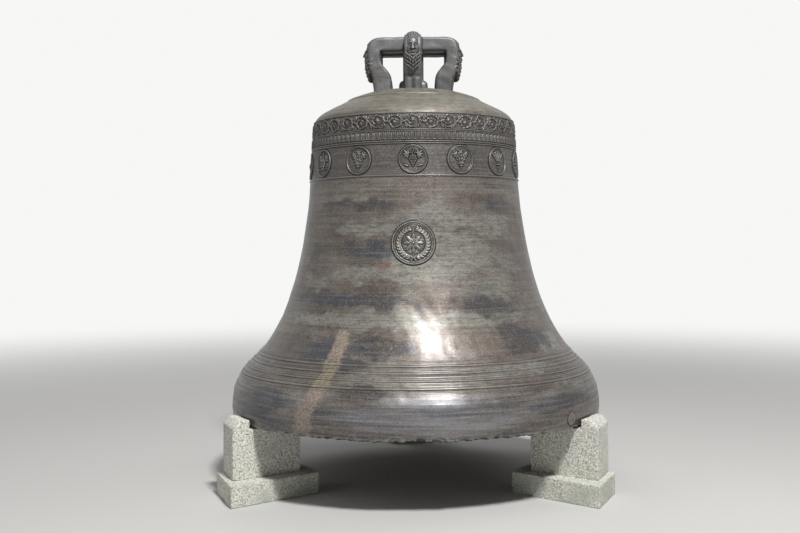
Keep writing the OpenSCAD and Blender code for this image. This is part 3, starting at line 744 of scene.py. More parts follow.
def scroll_strokes(half_wave):
    """One arch of a running leaf scroll: the stem over the top, a branch that coils into it, a rosette in its eye."""
    x = np.linspace(0, half_wave, 60)
    stem = np.stack([x, 0.035 * np.sin(math.pi * x / half_wave)], -1)
    made = [stroke(stem, 0.0036, 0.0052)]
    a = np.linspace(0.35, -TAU * 0.92, 70)
    reach = np.interp(np.arange(70), [0, 25, 69], [0.036, 0.030, 0.016])
    coil = np.stack([half_wave * 0.5 + 1.12 * reach * np.cos(a), -0.006 + reach * np.sin(a)], -1)
    made.append(stroke(coil, np.linspace(0.0036, 0.0024, 70), 0.0048))
    made += rosette(0.0150, 0.0046, 6, half_wave * 0.5, -0.006)
    for i, side, long in zip(range(5, 50, 8), (1, -1, 1, -1, 1, 1), (0.022, 0.017, 0.022, 0.016, 0.020, 0.018)):
        turn = direction(coil, i)
        made.append(leaf(*coil[i], turn + side * 0.75, long, 0.0050, 0.0050, -side * 1.3))
        made.append(leaf(*coil[i], turn + side * 0.25, long * 0.8, 0.0038, 0.0044, -side * 0.7))
    for at, turn, long, bend in ((0.10, 1.9, 0.026, -1.4), (0.18, 1.2, 0.026, 1.3), (0.82, 1.3, 0.026, 1.5),
                                 (0.92, 1.7, 0.028, -1.2), (0.05, -1.2, 0.026, 1.3), (0.97, -1.9, 0.026, -1.3),
                                 (0.02, -0.6, 0.022, 1.6), (0.30, 0.9, 0.016, 1.5), (0.68, 2.1, 0.016, -1.5)):
        made.append(leaf(at * half_wave, 0.035 * math.sin(math.pi * at), turn, long, 0.0048, 0.0050, bend))
    return made


def ornament_band(name, low, high, drawn, ridges):
    """A band whose drawing, a row for each height, stands between level ridges."""
    # The drawing's hollows are painted dark as shade, its raised parts lighter as wear and highlight
    wall_band(name, low, high, *drawn.shape, lambda turns, z: 1.35 * drawn + line_relief(z, ridges), margin=0.0015,
              relief_shading=0.68)


def scroll_band():
    """The upper band round the shoulder: a leaf scroll between level ridges, each second arch hanging down."""
    columns = 42
    low, high = SCROLL_LOW - 0.0015, SCROLL_HIGH + 0.010
    half_wave = TAU * BAND_R / SCROLLS / 2
    heights = np.linspace(low, high, 52)[:, None]
    across = np.linspace(0, half_wave, columns, endpoint=False)[None, :]
    up = heights - (SCROLL_LOW + SCROLL_HIGH) / 2
    strokes = scroll_strokes(half_wave)
    keep = smooth(heights, SCROLL_LOW + 0.006, SCROLL_LOW + 0.010) * smooth(heights, SCROLL_HIGH - 0.004,
                                                                           SCROLL_HIGH - 0.008)
    wave = np.hstack([draw(across, up, strokes), draw(across, -up, strokes)]) * keep
    ornament_band("scroll_band", low, high, np.roll(np.hstack([wave] * SCROLLS), columns // 2, 1),
                  [(SCROLL_HIGH, 0.0050, 0.0062), (SCROLL_LOW + 0.003, 0.0030, 0.0046)])


def tongue_band():
    """The band under the scroll: tongues and darts between level ridges."""
    columns = 14
    low, high = TONGUE_LOW - 0.016, SCROLL_LOW - 0.0015
    tongue_w = TAU * BAND_R / TONGUES
    across = ((np.arange(columns) + 0.5) / columns - 0.5)[None, :] * tongue_w
    up = np.linspace(low, high, 40)[:, None] - (TONGUE_LOW + SCROLL_LOW) / 2
    a = np.linspace(math.pi, TAU, 16)
    loop = np.vstack([[(-0.0115, y) for y in np.linspace(0.024, -0.008, 12)],
                      np.stack([0.0115 * np.cos(a), -0.008 + 0.0130 * np.sin(a)], -1),
                      [(0.0115, y) for y in np.linspace(-0.008, 0.023, 12)]])
    made = [stroke(loop, 0.0028, 0.0050), leaf(0, 0.021, -math.pi / 2, 0.036, 0.0066, 0.0056)]
    for x in (-tongue_w / 2, tongue_w / 2):
        made.append(leaf(x, 0.024, -math.pi / 2, 0.034, 0.0030, 0.0036))
        made += dot(x, -0.0185, 0.0040, 0.0040)
    ornament_band("tongue_band", low, high, np.hstack([draw(across, up, made)] * TONGUES),
                  [(SCROLL_LOW - 0.006, 0.0030, 0.0046), (TONGUE_LOW + 0.005, 0.0042, 0.0056),
                   (TONGUE_LOW - 0.007, 0.0036, 0.0050)])


def flare_mouldings():
    """Four ridges round the flare, each between two grooves, with finer ridges beside them."""
    lines = [*zip(FLARE_WIRES, (0.0056, 0.0040, 0.0046, 0.0054), (0.0046, 0.0032, 0.0038, 0.0046)),
             (FLARE_WIRES[0] - 0.016, 0.0026, 0.0015), (FLARE_WIRES[0] + 0.021, 0.0028, 0.0020),
             (FLARE_WIRES[1] + 0.020, 0.0028, 0.0022), (FLARE_WIRES[3] - 0.018, 0.0028, 0.0024),
             (FLARE_WIRES[3] + 0.020, 0.0028, 0.0017)]
    # Each ridge is painted light as highlight and wear, and its grooves dark as shade
    wall_band("flare_mouldings", FLARE_WIRES[0] - 0.030, FLARE_WIRES[3] + 0.034, 110, 720,
              lambda turns, z: line_relief(z, lines) * (0.82 + 0.26 * ripple(round_point(1.0, turns, z), 0.35, 71)),
              margin=0.006, relief_shading=0.95)


def line_below():
    """The single ridge under the medallions."""
    wall_band("line_below", LINE_BELOW_Z - 0.014, LINE_BELOW_Z + 0.014, 14, 640,
              lambda turns, z: line_relief(z, [(LINE_BELOW_Z, 0.0044, 0.0052)]))


def head_lines():
    """Two fine steps where the dome turns up to the flat head."""
    lines = [(TURN_Z - 0.003, 0.0020, 0.0030), (TURN_Z + 0.004, 0.0016, 0.0022)]
    # Painted strongly: dark below each step as shade, light on top as highlight and wear
    wall_band("head_lines", TURN_Z - 0.012, TURN_Z + 0.012, 26, 480, lambda turns, z: line_relief(z, lines), relief_shading=1.6)


# Medallions

def wall_disc(turn, z, radius, relief, rows, columns):
    """Polar grid on the wall: its rise from relief(x, y), a dark ring round it, and a back inside the metal."""
    edge_r = radius + 0.007
    out = np.linspace(0, edge_r, rows)[:, None]
    a = all_round(columns)
    x, y = out * np.cos(a), out * np.sin(a)
    rise = relief(x, y)
    # Hollows of the drawing are painted dark as shade and its raised parts lighter, as wear and highlight; a ring just
    # outside the rim is darkened
    mark = relief_shade_and_wear(rise, 22, 0.0016) * smooth(out, 0.1 * radius, 0.14 * radius) - 1.2 * bump(out, radius + 0.0016, 0.0026)
    edge = smooth(out, edge_r, edge_r - 0.0014)
    lift = -0.004 + (0.0047 + 0.0008 * smooth(out, radius, radius - 0.001) + rise) * edge
    back_x, back_y = x[::-rows // 3], y[::-rows // 3]
    x, y = np.vstack([x, back_x]), np.vstack([y, back_y])
    lift = np.vstack([lift, np.full_like(back_x, -0.006)])
    turns, heights = turn + x / wall_r(z), z + y
    marks = weather(turns, heights)
    marks["relief"] = np.vstack([mark, np.zeros_like(back_x)])
    return close_ends(round_point(wall_r(heights) + lift, turns, heights)), marks


def rim_relief(x, y, radius, rope=0):
    """A round rim, plain or twisted like rope, and a narrower ring inside it."""
    out = np.hypot(x, y)
    twist = 1 + (0.30 * np.sin(rope * np.arctan2(y, x) + 900 * (out - radius)) if rope else 0)
    wide = 0.0052 if rope else 0.0040
    rim = 0.0070 * half_round((out - radius + wide + 0.001) / wide) * twist
    inner = 0.0030 * half_round((out - radius + 3.1 * wide) / 0.0020)
    return np.maximum(rim, inner) - 0.0012 * bump(out, radius - 2.3 * wide, 0.0016)


def sprig(k):
    """A bunch of three flowers on stems with paired leaves."""
    made = []
    for lean, top in ((-0.42, 0.62), (0.0, 0.80), (0.42, 0.62)):
        t = np.linspace(0, 1, 26)
        path = np.stack([lean * t ** 1.6, -0.72 + (0.72 + top * 0.62) * t], -1) * k
        made.append(stroke(path, 0.030 * k, 0.0042))
        made += rosette(0.235 * k, 0.0036, 6, *path[-1])
        for i in (8, 14, 19):
            for side in (-1, 1):
                turn = direction(path, i) + side * 0.9
                made.append(leaf(*path[i], turn, 0.26 * k, 0.052 * k, 0.0040, -side * 0.8))
    return made + [stroke([(s * 0.10 * k, -0.50 * k) for s in (-1, -0.5, 0, 0.5, 1)], 0.050 * k, 0.0050)]


def star(k):
    """An eight-petal rosette within a ring of leaves and beads."""
    made = rosette(0.52 * k, 0.0044, 8)
    made += ring_of(16, 0.60 * k, lambda x, y, a: [leaf(x, y, a + 0.6, 0.24 * k, 0.060 * k, 0.0038, -0.9)])
    return made + ring_of(32, 0.56 * k, lambda x, y, a: dot(x, y, 0.026 * k, 0.0030))


def vine(k):
    """A branch bearing a bunch of berries between lobed leaves."""
    made = [stroke([(0.05 * math.sin(6 * t) * k, (0.82 - 0.55 * t) * k) for t in np.linspace(0, 1, 20)],
                   0.032 * k, 0.0042)]
    for row, count in enumerate((3, 4, 5, 4, 3, 2, 1)):
        for i in range(count):
            made += dot((i - (count - 1) / 2) * 0.125 * k, (0.24 - 0.125 * row) * k, 0.072 * k, 0.0050)
    for side in (-1, 1):
        for turn, long in ((0.1, 0.40), (0.7, 0.44), (1.3, 0.34), (-0.5, 0.36), (-1.1, 0.28)):
            heading = math.pi / 2 - side * (math.pi / 2 - turn)
            made.append(leaf(side * 0.34 * k, 0.30 * k, heading, long * k, 0.075 * k, 0.0040, side * 0.3))
        for out, up, turn, long, wide, rise, bend in ((0.30, -0.60, 0.9, 0.46, 0.06, 0.0038, -0.7),
                                                      (0.05, 0.52, 1.9, 0.34, 0.03, 0.0036, 0.5)):
            made.append(leaf(side * out * k, up * k, math.pi / 2 - side * turn, long * k, wide * k, rise, side * bend))
    return made


def sheaf(k):
    """Ears of corn tied in a sheaf: grains in pairs along bent stalks."""
    made = []
    for lean in (-0.62, -0.31, 0.0, 0.31, 0.62):
        t = np.linspace(0, 1, 24)
        path = np.stack([lean * (t - 0.32) * (0.5 + t), -0.74 + 1.42 * t * (1 - 0.10 * abs(lean))], -1) * k
        made.append(stroke(path, 0.020 * k, 0.0034))
        for i in range(12, 23, 2):
            for side in (-1, 1):
                turn = direction(path, i) + side * 0.55
                made.append(leaf(*path[i], turn, 0.15 * k, 0.036 * k, 0.0044, -side * 0.4, 8))
    return made + [stroke([(s * 0.16 * k, -0.26 * k) for s in np.linspace(-1, 1, 9)], 0.055 * k, 0.0052)]


def medallions():
    """Fourteen medallions round the bell, with four plant motifs in turn."""
    drawings = [motif(MEDALLION_R * 0.90) for motif in (vine, sprig, sheaf, star)]
    reliefs = [lambda x, y, d=d: np.maximum(1.9 * draw(x, y, d), rim_relief(x, y, MEDALLION_R)) for d in drawings]
    made = [wall_disc(0.0, MEDALLION_Z, MEDALLION_R, relief, 62, 160) for relief in reliefs]
    for i, turn in enumerate(MEDALLION_TURNS):
        points, marks = made[i % len(made)]
        piece(f"medallion_{i + 1:02d}", on_wall(turned(points, turn)), ring=False, marks={"relief": marks["relief"]})


def crest():
    """The large medallion on the front: a laurel wreath round a double rosette, inside a rope rim."""
    k = CREST_R
    wreath_r, foot = 0.66 * k, -math.pi / 2
    made = rosette(0.42 * k, 0.0056, 8)
    made += ring_of(26, 0.47 * k, lambda x, y, a: dot(x, y, 0.026 * k, 0.0040))
    made += ring_of(26, 0.85 * k, lambda x, y, a: dot(x, y, 0.018 * k, 0.0024))
    for side in (-1, 1):
        turns = [foot + side * math.radians(d) for d in range(8, 172, 2)]
        made.append(stroke([(wreath_r * math.cos(a), wreath_r * math.sin(a)) for a in turns], 0.016 * k, 0.0040))
        for a in turns[2:80:6]:
            x, y = wreath_r * math.cos(a), wreath_r * math.sin(a)
            for lean, long in ((0.75, 0.20), (-0.75, 0.19), (0.0, 0.18)):
                made.append(leaf(x, y, a - side * foot + lean, long * k, 0.048 * k, 0.0052, -lean * 0.7))
            made += dot(x + 0.10 * k * math.cos(a), y + 0.10 * k * math.sin(a), 0.024 * k, 0.0046)
        made.append(leaf(0, -wreath_r, foot + side * 0.9, 0.22 * k, 0.036 * k, 0.0054, -side * 0.8))
        made.append(leaf(0, -wreath_r, -foot - side * 1.5, 0.18 * k, 0.042 * k, 0.0056, side * 1.6))
    made += dot(0, -wreath_r, 0.055 * k, 0.0064)
    points, marks = wall_disc(0.0, CREST_Z, k,
                              lambda x, y: np.maximum(1.6 * draw(x, y, made), rim_relief(x, y, k, rope=64)), 96, 360)
    piece("crest_medallion", on_wall(points), ring=False, marks=marks)


def casting_scar():
    """A round low scar with a raised rim on the bow, where a riser was cut off."""
    radius = 0.041

    def relief(x, y):
        """Rim, sunk middle and roughness of the scar."""
        out = np.hypot(x, y) / radius
        rough = ripple(np.stack([x, y, 0 * x], -1), 0.02, 61)
        return 0.0034 * bump(out, 0.76, 0.20) - 0.0008 * (out < 0.55) + 0.0008 * rough

    points, marks = wall_disc(math.radians(50.3), LIP_Z + 0.070, radius, relief, 24, 72)
    inside_rim = 19
    marks["relief"][:inside_rim] += 0.60
    marks["relief"] = np.clip(marks["relief"], -1, 1)
    piece("casting_scar", on_wall(points), ring=False, marks=marks)


bell_wall()
casting_scar()
lip_ring()
scroll_band()
tongue_band()
flare_mouldings()
line_below()
head_lines()
medallions()
crest()

# Crown

# Side outline of a canon from inside the head to the post: inner radius, height, outer radius, height above the head
CANON_OUTLINE = [
    (0.141, -0.056, 0.2515, -0.056), (0.141, 0.000, 0.2565, 0.002), (0.141, 0.050, 0.2660, 0.052),
    (0.151, 0.087, 0.2780, 0.094), (0.175, 0.122, 0.2860, 0.134), (0.199, 0.150, 0.2915, 0.166),
    (0.211, 0.178, 0.2955, 0.196), (0.213, 0.210, 0.2975, 0.228), (0.213, 0.232, 0.2945, 0.262),
    (0.209, 0.239, 0.2820, 0.300), (0.199, 0.240, 0.2560, 0.322), (0.180, 0.240, 0.2180, 0.330),
    (0.150, 0.240, 0.1600, 0.331), (0.100, 0.240, 0.1000, 0.332), (0.060, 0.240, 0.0600, 0.332),
]
# Level sections of the post from inside the head upwards: width, depth, height above the head
POST_SECTIONS = [
    (BASE_W, BASE_W, -0.055), (BASE_W, BASE_W, BASE_H - 0.034), (BASE_W - 0.006, BASE_W - 0.006, BASE_H - 0.018),
    (BASE_W - 0.022, BASE_W - 0.020, BASE_H - 0.006), (BASE_W - 0.046, BASE_W - 0.036, BASE_H),
    (POST_W + 0.004, POST_D + 0.004, BASE_H + 0.001), (POST_W, POST_D, BASE_H + 0.008), (POST_W, POST_D, 0.150),
    (POST_W, POST_D, 0.207), (POST_W, POST_D + 0.006, 0.2125), (POST_W, POST_D + 0.018, 0.2145),
    (POST_W, CROSS_D - 0.018, 0.2155), (POST_W, CROSS_D - 0.005, 0.2175), (POST_W, CROSS_D, 0.223),
    (POST_W, CROSS_D, 0.300), (POST_W, CROSS_D, 0.326), (POST_W - 0.010, CROSS_D - 0.010, 0.3315),
]


def rounded_section(half_x, half_y, count):
    """Points round a rectangle with rounded corners: a superellipse of power 9, as (count, 2)."""
    a = np.linspace(0, TAU, count, endpoint=False) + TAU / count / 2
    shape = np.stack([np.cos(a), np.sin(a)], -1)
    scale = (np.abs(shape) ** 9).sum(-1) ** (-1 / 9)
    return shape * scale[:, None] * (half_x, half_y)


def canon(side, turn, y):
    """A rounded bar between the inner and the outer outline, cut off inside the post, with a robe's folds low down."""
    path = spline(CANON_OUTLINE, 150)
    path = path[path[:, 2] > (POST_W if y else CROSS_D) / 2 - 0.012]
    inner, outer = path[:, None, :2] + (0, HEAD_Z), path[:, None, 2:] + (0, HEAD_Z)
    section = rounded_section(1.0, CANON_W / 2, 44)
    outline = (inner + outer) / 2 + section[None, :, :1] * (outer - inner) / 2
    out, height = outline[..., 0], outline[..., 1]
    wide = np.broadcast_to(section[:, 1], height.shape)
    outer_face = smooth(section[:, 0], 0.80, 0.98)
    foot = smooth(height, HEAD_Z + 0.050, HEAD_Z + 0.030) * outer_face
    neck = bump(height, HEAD_Z + 0.058, 0.012) * outer_face
    fold = foot * (0.0050 * bump(np.abs(wide), 0.024, 0.015) - 0.0040 * bump(wide, 0, 0.009)) - 0.0022 * neck
    points = add_ends(np.stack([out + fold, wide, height], -1))
    points = close_ends(points + (ripple(points, 0.09, 31) * 0.0009)[..., None])
    # Hollows of the folds and the neck groove are painted dark as shade, their ridges lighter as wear and highlight
    relief = np.pad(np.clip(fold / 0.006, -1, 1), ((1, 1), (0, 0)))
    piece(f"canon_bar_{side}", turned(points, turn) + (0, y, 0), [f"canon_{side}"], CROWN_BRONZE, ring=False,
          marks={"relief": relief})


def post():
    """The crown's post: level sections stacked upwards, from the square base to the cross block under the top."""
    rows = [np.column_stack([rounded_section(wide / 2, deep / 2, 72), np.full(72, HEAD_Z + up)])
            for wide, deep, up in POST_SECTIONS]
    piece("post", add_ends(np.array(rows)), ["crown_post"], CROWN_BRONZE, ring=False)


# The mask's head from its crown downwards: level in head heights, reach to the front, half width
HEAD_H = 0.164
MASK_OUTLINE = np.array([
    (-0.02, 0.000, 0.000), (-0.01, 0.012, 0.018), (0.02, 0.026, 0.031), (0.07, 0.040, 0.040), (0.13, 0.051, 0.0460),
    (0.21, 0.060, 0.0500), (0.33, 0.069, 0.0530), (0.48, 0.077, 0.0545), (0.60, 0.0825, 0.0555),
    (0.76, 0.0845, 0.0565), (0.95, 0.0815, 0.0565), (1.10, 0.0765, 0.0560), (1.25, 0.0715, 0.0550),
    (1.45, 0.0650, 0.0530), (1.58, 0.0590, 0.0500), (1.66, 0.0450, 0.0350), (1.70, 0.0250, 0.0000),
])
# Mounds and hollows of the face: rise in metres, place to the side, half width, level, half height.
# First eye sockets, cheeks, nostrils and the folds beside the nose, then lower lip, mouth, hollow under it and chin.
PAIRED_MOUNDS = [(-0.0105, 0.275, 0.1725, 0.562, 0.0567), (0.0042, 0.360, 0.170, 0.705, 0.085),
                 (0.0056, 0.110, 0.050, 0.722, 0.026), (-0.0034, 0.205, 0.050, 0.785, 0.045)]
MIDDLE_MOUNDS = [(0.0048, 0, 0.150, 0.868, 0.019), (-0.0054, 0, 0.210, 0.847, 0.010),
                 (-0.0040, 0, 0.200, 0.912, 0.022), (0.0060, 0, 0.220, 0.972, 0.042)]


def mask_points():
    """A bearded head in half round on the canon's bow, facing +X.

    Each level is an ellipse from the outline above; the face, hair and beard are heights added outwards over the
    sideways place s, from -1 to 1, and the level v, which runs from 0 at the crown of the head to 1 at the chin.
    """
    v = np.linspace(MASK_OUTLINE[0, 0], MASK_OUTLINE[-1, 0], 190)[:, None]
    a = np.linspace(-math.pi, math.pi, 140, endpoint=False)[None, :]
    front, side = (blur(np.interp(v, MASK_OUTLINE[:, 0], MASK_OUTLINE[:, i]) * np.ones_like(a), 6) for i in (1, 2))
    s, facing = np.sin(a), np.cos(a)
    aside = np.abs(s)
    level = smooth(v, 0.02, 0.30) * smooth(v, 1.69, 1.58)
    low = np.where(v > 0.66, 0.46, 0.40)
    oval = 1 - (s / (0.86 - 0.14 * smooth(v, 0.7, 1.05))) ** 2 - ((v - 0.66) / low) ** 2
    inside = smooth(oval, -0.05, 0.25) * smooth(facing, 0.1, 0.4)

    # Hair in strands from the parting
    parted = aside + 0.35 * smooth(v, 0.1, 0.5)
    strands = 0.5 + 0.5 * np.sin(26 * parted + 7 * v + 1.6 * np.sin(11 * v + 3 * aside))
    rise = (1 - inside) * smooth(facing, 0.25, 0.55) * level * (0.0006 + 0.0044 * strands)

    # Brow, eyes, nose and mouth
    across = s / 1.28
    out = np.abs(across)
    brow = bump(v, 0.492 + 0.4 * (out - 0.27) ** 2, 0.026) * smooth(out, 0.04, 0.12) * smooth(out, 0.58, 0.46)
    face = 0.0048 * brow - 0.0012
    mounds = list(MIDDLE_MOUNDS)
    for eye in (-1, 1):
        from_eye = np.hypot((across - eye * 0.275) / 0.150, (v - 0.562) / 0.042)
        face += 0.0068 * half_round(from_eye) + 0.0016 * bump(from_eye, 1.0, 0.20)
        mounds += [(height, eye * at, *sizes) for height, at, *sizes in PAIRED_MOUNDS]
    for height, at, wide, up, tall in mounds:
        face += height * bump(across, at, wide) * bump(v, up, tall)
    down = smooth(v, 0.49, 0.735)
    nose = smooth(v, 0.46, 0.52) * smooth(v, 0.768, 0.742) * (0.0055 + 0.0070 * down)
    face += nose * bump(across, 0, 0.078 + 0.035 * down)
    face += 0.0042 * bump(v, 0.828, 0.016) * bump(across, 0, 0.185) * (1 - 0.35 * bump(across, 0, 0.03))
    rise += inside * face

    # Beard in tiers of locks that point down, and locks beside the face
    chevron = (v - 1.08 + 0.30 * aside) / 0.142
    tier = np.where(chevron > 0, 1 - np.mod(chevron, 1.0), 0)
    below = smooth(v + 0.30 * aside, 1.06, 1.11) * smooth(facing, 0.30, 0.55) * smooth(aside, 0.84, 0.72)
    locks = 0.82 + 0.18 * np.sin(40 * s + 5 * np.floor(chevron))
    rise += below * level * (0.0125 * tier * locks - 0.0030)
    rise -= 0.030 * smooth(chevron, 3.72, 3.98) * smooth(facing, 0.1, 0.5)
    side_lock = smooth(aside, 0.66, 0.80) * smooth(facing, 0.25, 0.50) * smooth(v, 0.40, 0.60) * level
    rise += side_lock * (0.0010 + 0.0030 * np.sin(TAU * v * 5.5 + 3 * s))

    reach = np.where(facing > 0, front, 0.030 * level) + rise
    wide = np.minimum(side, 0.0530 + 0.02 * smooth(facing, 0.2, 0.6)) + rise * smooth(facing, 0.15, 0.45)
    z = np.broadcast_to(HEAD_Z + 0.342 - v * HEAD_H, rise.shape)
    # Hollows of the face, hair and beard are painted dark as shade, raised parts lighter as wear and highlight
    return close_ends(np.stack([0.235 + reach * facing, wide * s, z], -1)), {"relief": relief_shade_and_wear(rise, 13, 0.0018)}


def crown():
    """The post and the six canons, all with the same mask, those of the pairs a little lower."""
    post()
    for side, (turn, y) in CANONS.items():
        canon(side, turn, y)
    points, marks = mask_points()
    for side, (turn, y) in CANONS.items():
        drop = 0.012 if y else 0
        piece(f"mask_{side}", turned(points, turn) + (0, y, -drop), (), CROWN_BRONZE, ring=False, marks=marks)


crown()

# Supports, drawn along +X

STONE_EDGE = 0.005
PRISM_HALF = 0.1
SEAT_R = MOUTH_R + 0.010
STOP_OUT_R = SEAT_R + 0.095
BLOCK_IN, FOOT_IN, FOOT_OUT = 0.345, 0.095, 0.040
BLOCK_START_R = SEAT_R - BLOCK_IN
STOP_TOP_Z, STOP_BEVEL = LIP_Z + 0.056, 0.042
FOOT_TOP_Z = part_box("support_foot_left")[1][2]
OUTER_SKEW = math.tan(math.radians(7.5))
# Half width of the widest block at its inner and its outer end, and how far its foot reaches to each side there
BLOCK_HALVES, FOOT_RIGHT, FOOT_LEFT = (0.080, 0.135), (0.100, 0.145), (0.150, 0.265)


def between(ends, share):
    """A size between two others, at a share of the way."""
    return ends[0] + (ends[1] - ends[0]) * share


def worn_line(corners, radius, step):
    """Points at equal steps along a closed line, its corners rounded, and how near a corner each of them is."""
    corners = np.array(corners, float)
    t = np.linspace(0, 1, 8)[:, None]
    parts = []
    for i, corner in enumerate(corners):
        before, after = corners[i - 1] - corner, corners[(i + 1) % len(corners)] - corner
        start = corner + before / np.linalg.norm(before) * radius
        end = corner + after / np.linalg.norm(after) * radius
        parts.append((1 - t) ** 2 * start + 2 * (1 - t) * t * corner + t ** 2 * end)
    line = np.vstack(parts + [parts[0][:1]])
    along = np.r_[0, np.cumsum(np.linalg.norm(np.diff(line, axis=0), axis=1))]
    places = np.linspace(0, along[-1], int(along[-1] / step), endpoint=False)
    line = np.stack([np.interp(places, along, line[:, k]) for k in (0, 1)], -1)
    away = np.linalg.norm(line[:, None] - corners[None], axis=-1).min(1)
    return line, bump(away, 0, 0.012)


def worn_stone(name, corners, middle, low, high, shape, seed):
    """A prism between two levels over an outline, its edges rounded, chipped and uneven.

    Each row is the outline drawn in by an inset and set at a level; at both ends it shrinks to the middle point. shape
    carries the outline's two directions and the level to the stone's place.
    """
    line, corner = worn_line(corners, STONE_EDGE * 1.2, 0.0060)
    ahead = np.roll(line, -1, 0) - np.roll(line, 1, 0)
    inwards = np.stack([-ahead[:, 1], ahead[:, 0]], -1) / np.linalg.norm(ahead, axis=1)[:, None]
    if ((middle - line) * inwards).sum() < 0:
        inwards = -inwards
    quarter = np.linspace(0, math.pi / 2, 5)
    inset, climb = STONE_EDGE * (1 - np.sin(quarter)), STONE_EDGE * (1 - np.cos(quarter))
    walls = np.linspace(low + STONE_EDGE, high - STONE_EDGE, max(4, int((high - low) / 0.0075)))[1:-1]
    fan = np.linspace(0, 1, 22, endpoint=False)
    end = np.ones_like(fan)
    shares = np.r_[fan, np.ones(2 * len(quarter) + len(walls)), fan[::-1]]
    insets = np.r_[end * STONE_EDGE, inset, 0 * walls, inset[::-1], end * STONE_EDGE]
    levels = np.r_[end * low, low + climb, walls, high - climb[::-1], end * high]
    flat = line[None] + insets[:, None, None] * inwards[None]
    flat = middle + (flat - middle) * shares[:, None, None]
    points = np.concatenate([flat, np.broadcast_to(levels[:, None, None], flat[..., :1].shape)], -1)
    outwards = points - (*middle, (low + high) / 2)
    outwards /= np.linalg.norm(outwards, axis=-1, keepdims=True)
    rim = bump(np.minimum(levels - low, high - levels), 0, 0.011) * smooth(shares, 0.90, 1.0)
    near = np.maximum(corner[None, :] * smooth(shares, 0.95, 1.0)[:, None], rim[:, None])
    chips = 0.0032 * np.clip(ripple(points, 0.045, seed) - 0.4, 0, 2)
    chips += 0.0014 * np.clip(ripple(points, 0.018, seed + 1), 0, 2)
    swell = 0.0008 * ripple(points, 0.12, seed + 2) + 0.0004 * ripple(points, 0.030, seed + 3)
    placed = close_ends(shape(points + outwards * (swell - near * chips)[..., None]))
    placed[..., 2] = np.maximum(placed[..., 2], 0)
    piece(name, placed, [f"support_{name}"], GRANITE, ring=False)


def support(side, turn, mirrored, block_in, foot_in, seed):
    """A wedge-shaped block with a seat and a bevelled stop, on its foot slab, along a turn from the right."""
    def placed(points):
        """Points carried to the support's place."""
        return turned(points * (1, -1, 1) if mirrored else points, turn)

    def wedge(points):
        """The block's side outline, PRISM_HALF thick to each side, widened outwards, its outer face skewed."""
        out, up, aside = points[..., 0], points[..., 1], points[..., 2] / PRISM_HALF
        skew = aside * BLOCK_HALVES[1] * OUTER_SKEW
        x = out + smooth(out, SEAT_R, STOP_OUT_R) * skew
        half = between(BLOCK_HALVES, (x - BLOCK_START_R) / (STOP_OUT_R + skew - BLOCK_START_R))
        return placed(np.stack([x, aside * half, up], -1))

    start, below = SEAT_R - block_in, FOOT_TOP_Z - 0.002
    outline = [(start, below), (STOP_OUT_R, below), (STOP_OUT_R, STOP_TOP_Z - STOP_BEVEL),
               (STOP_OUT_R - STOP_BEVEL, STOP_TOP_Z), (SEAT_R, STOP_TOP_Z), (SEAT_R, LIP_Z), (start, LIP_Z)]
    worn_stone(f"block_{side}", outline, (SEAT_R + 0.030, LIP_Z - 0.080), -PRISM_HALF, PRISM_HALF, wedge, seed)
    foot_start, foot_end = start - foot_in, STOP_OUT_R + FOOT_OUT
    widest_start = BLOCK_START_R - FOOT_IN
    share = (foot_start - widest_start) / (foot_end - widest_start)
    corners = [(foot_start, -between(FOOT_RIGHT, share)), (foot_end - FOOT_RIGHT[1] * OUTER_SKEW, -FOOT_RIGHT[1]),
               (foot_end + FOOT_LEFT[1] * OUTER_SKEW, FOOT_LEFT[1]), (foot_start, between(FOOT_LEFT, share))]
    worn_stone(f"foot_{side}", corners, ((foot_start + foot_end) / 2, 0.05), 0.0, FOOT_TOP_Z, placed, seed + 10)


support("left", 210, False, BLOCK_IN, FOOT_IN, 101)
support("right", 330, True, BLOCK_IN, FOOT_IN, 131)
support("rear", 90, False, 0.132, 0.002, 161)

# Carried-over nodes

for node_name, finish in (("clapper_staple", IRON), ("staple_leather", LEATHER), ("hanger_strap", IRON),
                          ("hanger_bolts", BOLT_IRON), ("hanger_washers", BOLT_IRON), ("hanger_nuts", BOLT_IRON),
                          ("clapper", IRON)):
    kept = frame["nodes"][node_name].data.materials
    kept.clear()
    kept.append(finish)

# Stage, light and camera

def floor():
    """A wide pale floor that fades out far from the bell, so that it meets the background without a line."""
    mesh = bpy.data.meshes.new("floor")
    w = 40.0
    mesh.from_pydata([(-w, -w, 0), (w, -w, 0), (w, w, 0), (-w, w, 0)], [], [(0, 1, 2, 3)])
    f = Finish("pale_floor")
    f.shade({"Base Color": (0.60, 0.59, 0.57), "Roughness": 0.9})
    away = f.node("ShaderNodeVectorMath", {0: f.place}, operation="LENGTH").outputs["Value"]
    far = f.node("ShaderNodeMapRange", {"Value": away, "From Min": 2.0, "From Max": 15.0},
                 interpolation_type="SMOOTHERSTEP").outputs[0]
    clear = f.node("ShaderNodeBsdfTransparent").outputs[0]
    fade = f.node("ShaderNodeMixShader", {0: far, 1: f.shader.outputs[0], 2: clear}).outputs[0]
    set_input(f.tree.nodes["Material Output"].inputs[0], fade)
    mesh.materials.append(f.material)
    obj = bpy.data.objects.new("floor", mesh)
    bpy.context.collection.objects.link(obj)


def lamp(name, azimuth, elevation, distance, size, power, shines=True):
    """A square soft lamp at an azimuth and elevation round the bell's middle, facing it; a fill leaves no gleam."""
    light = bpy.data.lights.new(name, "AREA")
    light.shape = "SQUARE"
    light.size = size
    light.energy = power
    obj = bpy.data.objects.new(name, light)
    obj.visible_glossy = shines
    a, e = math.radians(azimuth), math.radians(elevation)
    away = distance * math.cos(e)
    obj.location = (away * math.sin(a), -away * math.cos(a), LAMP_AIM_Z + distance * math.sin(e))
    obj.rotation_euler = (math.pi / 2 - e, 0, a)
    bpy.context.collection.objects.link(obj)


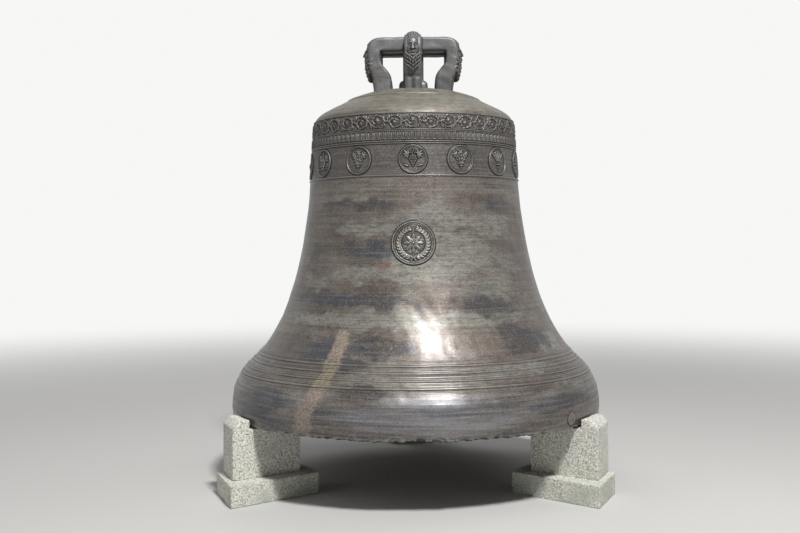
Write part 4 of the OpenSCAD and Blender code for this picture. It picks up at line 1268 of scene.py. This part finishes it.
def world():
    """White background for the camera and for reflections, grey light for everything else."""
    studio = bpy.data.worlds.new("studio")
    bpy.context.scene.world = studio
    studio.use_nodes = True
    tree = studio.node_tree
    tree.nodes.clear()
    ray = add_node(tree, "ShaderNodeLightPath").outputs
    shines = add_node(tree, "ShaderNodeMath", {0: ray["Is Glossy Ray"], 1: ray["Is Transmission Ray"]},
                      operation="MAXIMUM").outputs[0]
    sees = add_node(tree, "ShaderNodeMath", {0: ray["Is Camera Ray"], 1: shines}, operation="MAXIMUM").outputs[0]
    glow = add_node(tree, "ShaderNodeMapRange", {"Value": ray["Is Camera Ray"], "To Min": 0.62}).outputs[0]
    light = add_node(tree, "ShaderNodeBackground", {0: (0.92, 0.95, 1.0), 1: 0.13}).outputs[0]
    back = add_node(tree, "ShaderNodeBackground", {0: (0.93, 0.93, 0.92), 1: glow}).outputs[0]
    mix = add_node(tree, "ShaderNodeMixShader", {0: sees, 1: light, 2: back}).outputs[0]
    add_node(tree, "ShaderNodeOutputWorld", {0: mix})


def camera():
    """A level camera at the photograph's height and distance, with the frame moved down to its horizon."""
    data = bpy.data.cameras.new("camera")
    data.sensor_width = 36
    data.lens = 36 * FOCAL_PX / IMAGE_W
    data.shift_y = -(CENTRE_PX - HORIZON_PX) / IMAGE_W
    data.clip_end = 200
    obj = bpy.data.objects.new("camera", data)
    s, c = math.sin(CAMERA_TURN), math.cos(CAMERA_TURN)
    turn = Matrix.Rotation(CAMERA_TURN, 4, "Z") @ Matrix.Rotation(math.pi / 2, 4, "X")
    place = Matrix.Translation((CAMERA_AWAY * s + CAMERA_SIDE * c, -CAMERA_AWAY * c + CAMERA_SIDE * s, CAMERA_HIGH))
    obj.matrix_world = place @ turn @ Matrix.Rotation(CAMERA_ROLL, 4, "Z")
    bpy.context.collection.objects.link(obj)
    bpy.context.scene.camera = obj


floor()
world()
camera()
lamp("key", 17, 50, 9.0, 1.1, 920)
lamp("fill_left", -65, 25, 8.0, 4.0, 52, shines=False)
lamp("side_right", 110, 35, 8.0, 4.0, 75, shines=False)
lamp("back", 205, 40, 8.0, 4.0, 120, shines=False)
bpy.context.scene.view_settings.view_transform = "Standard"
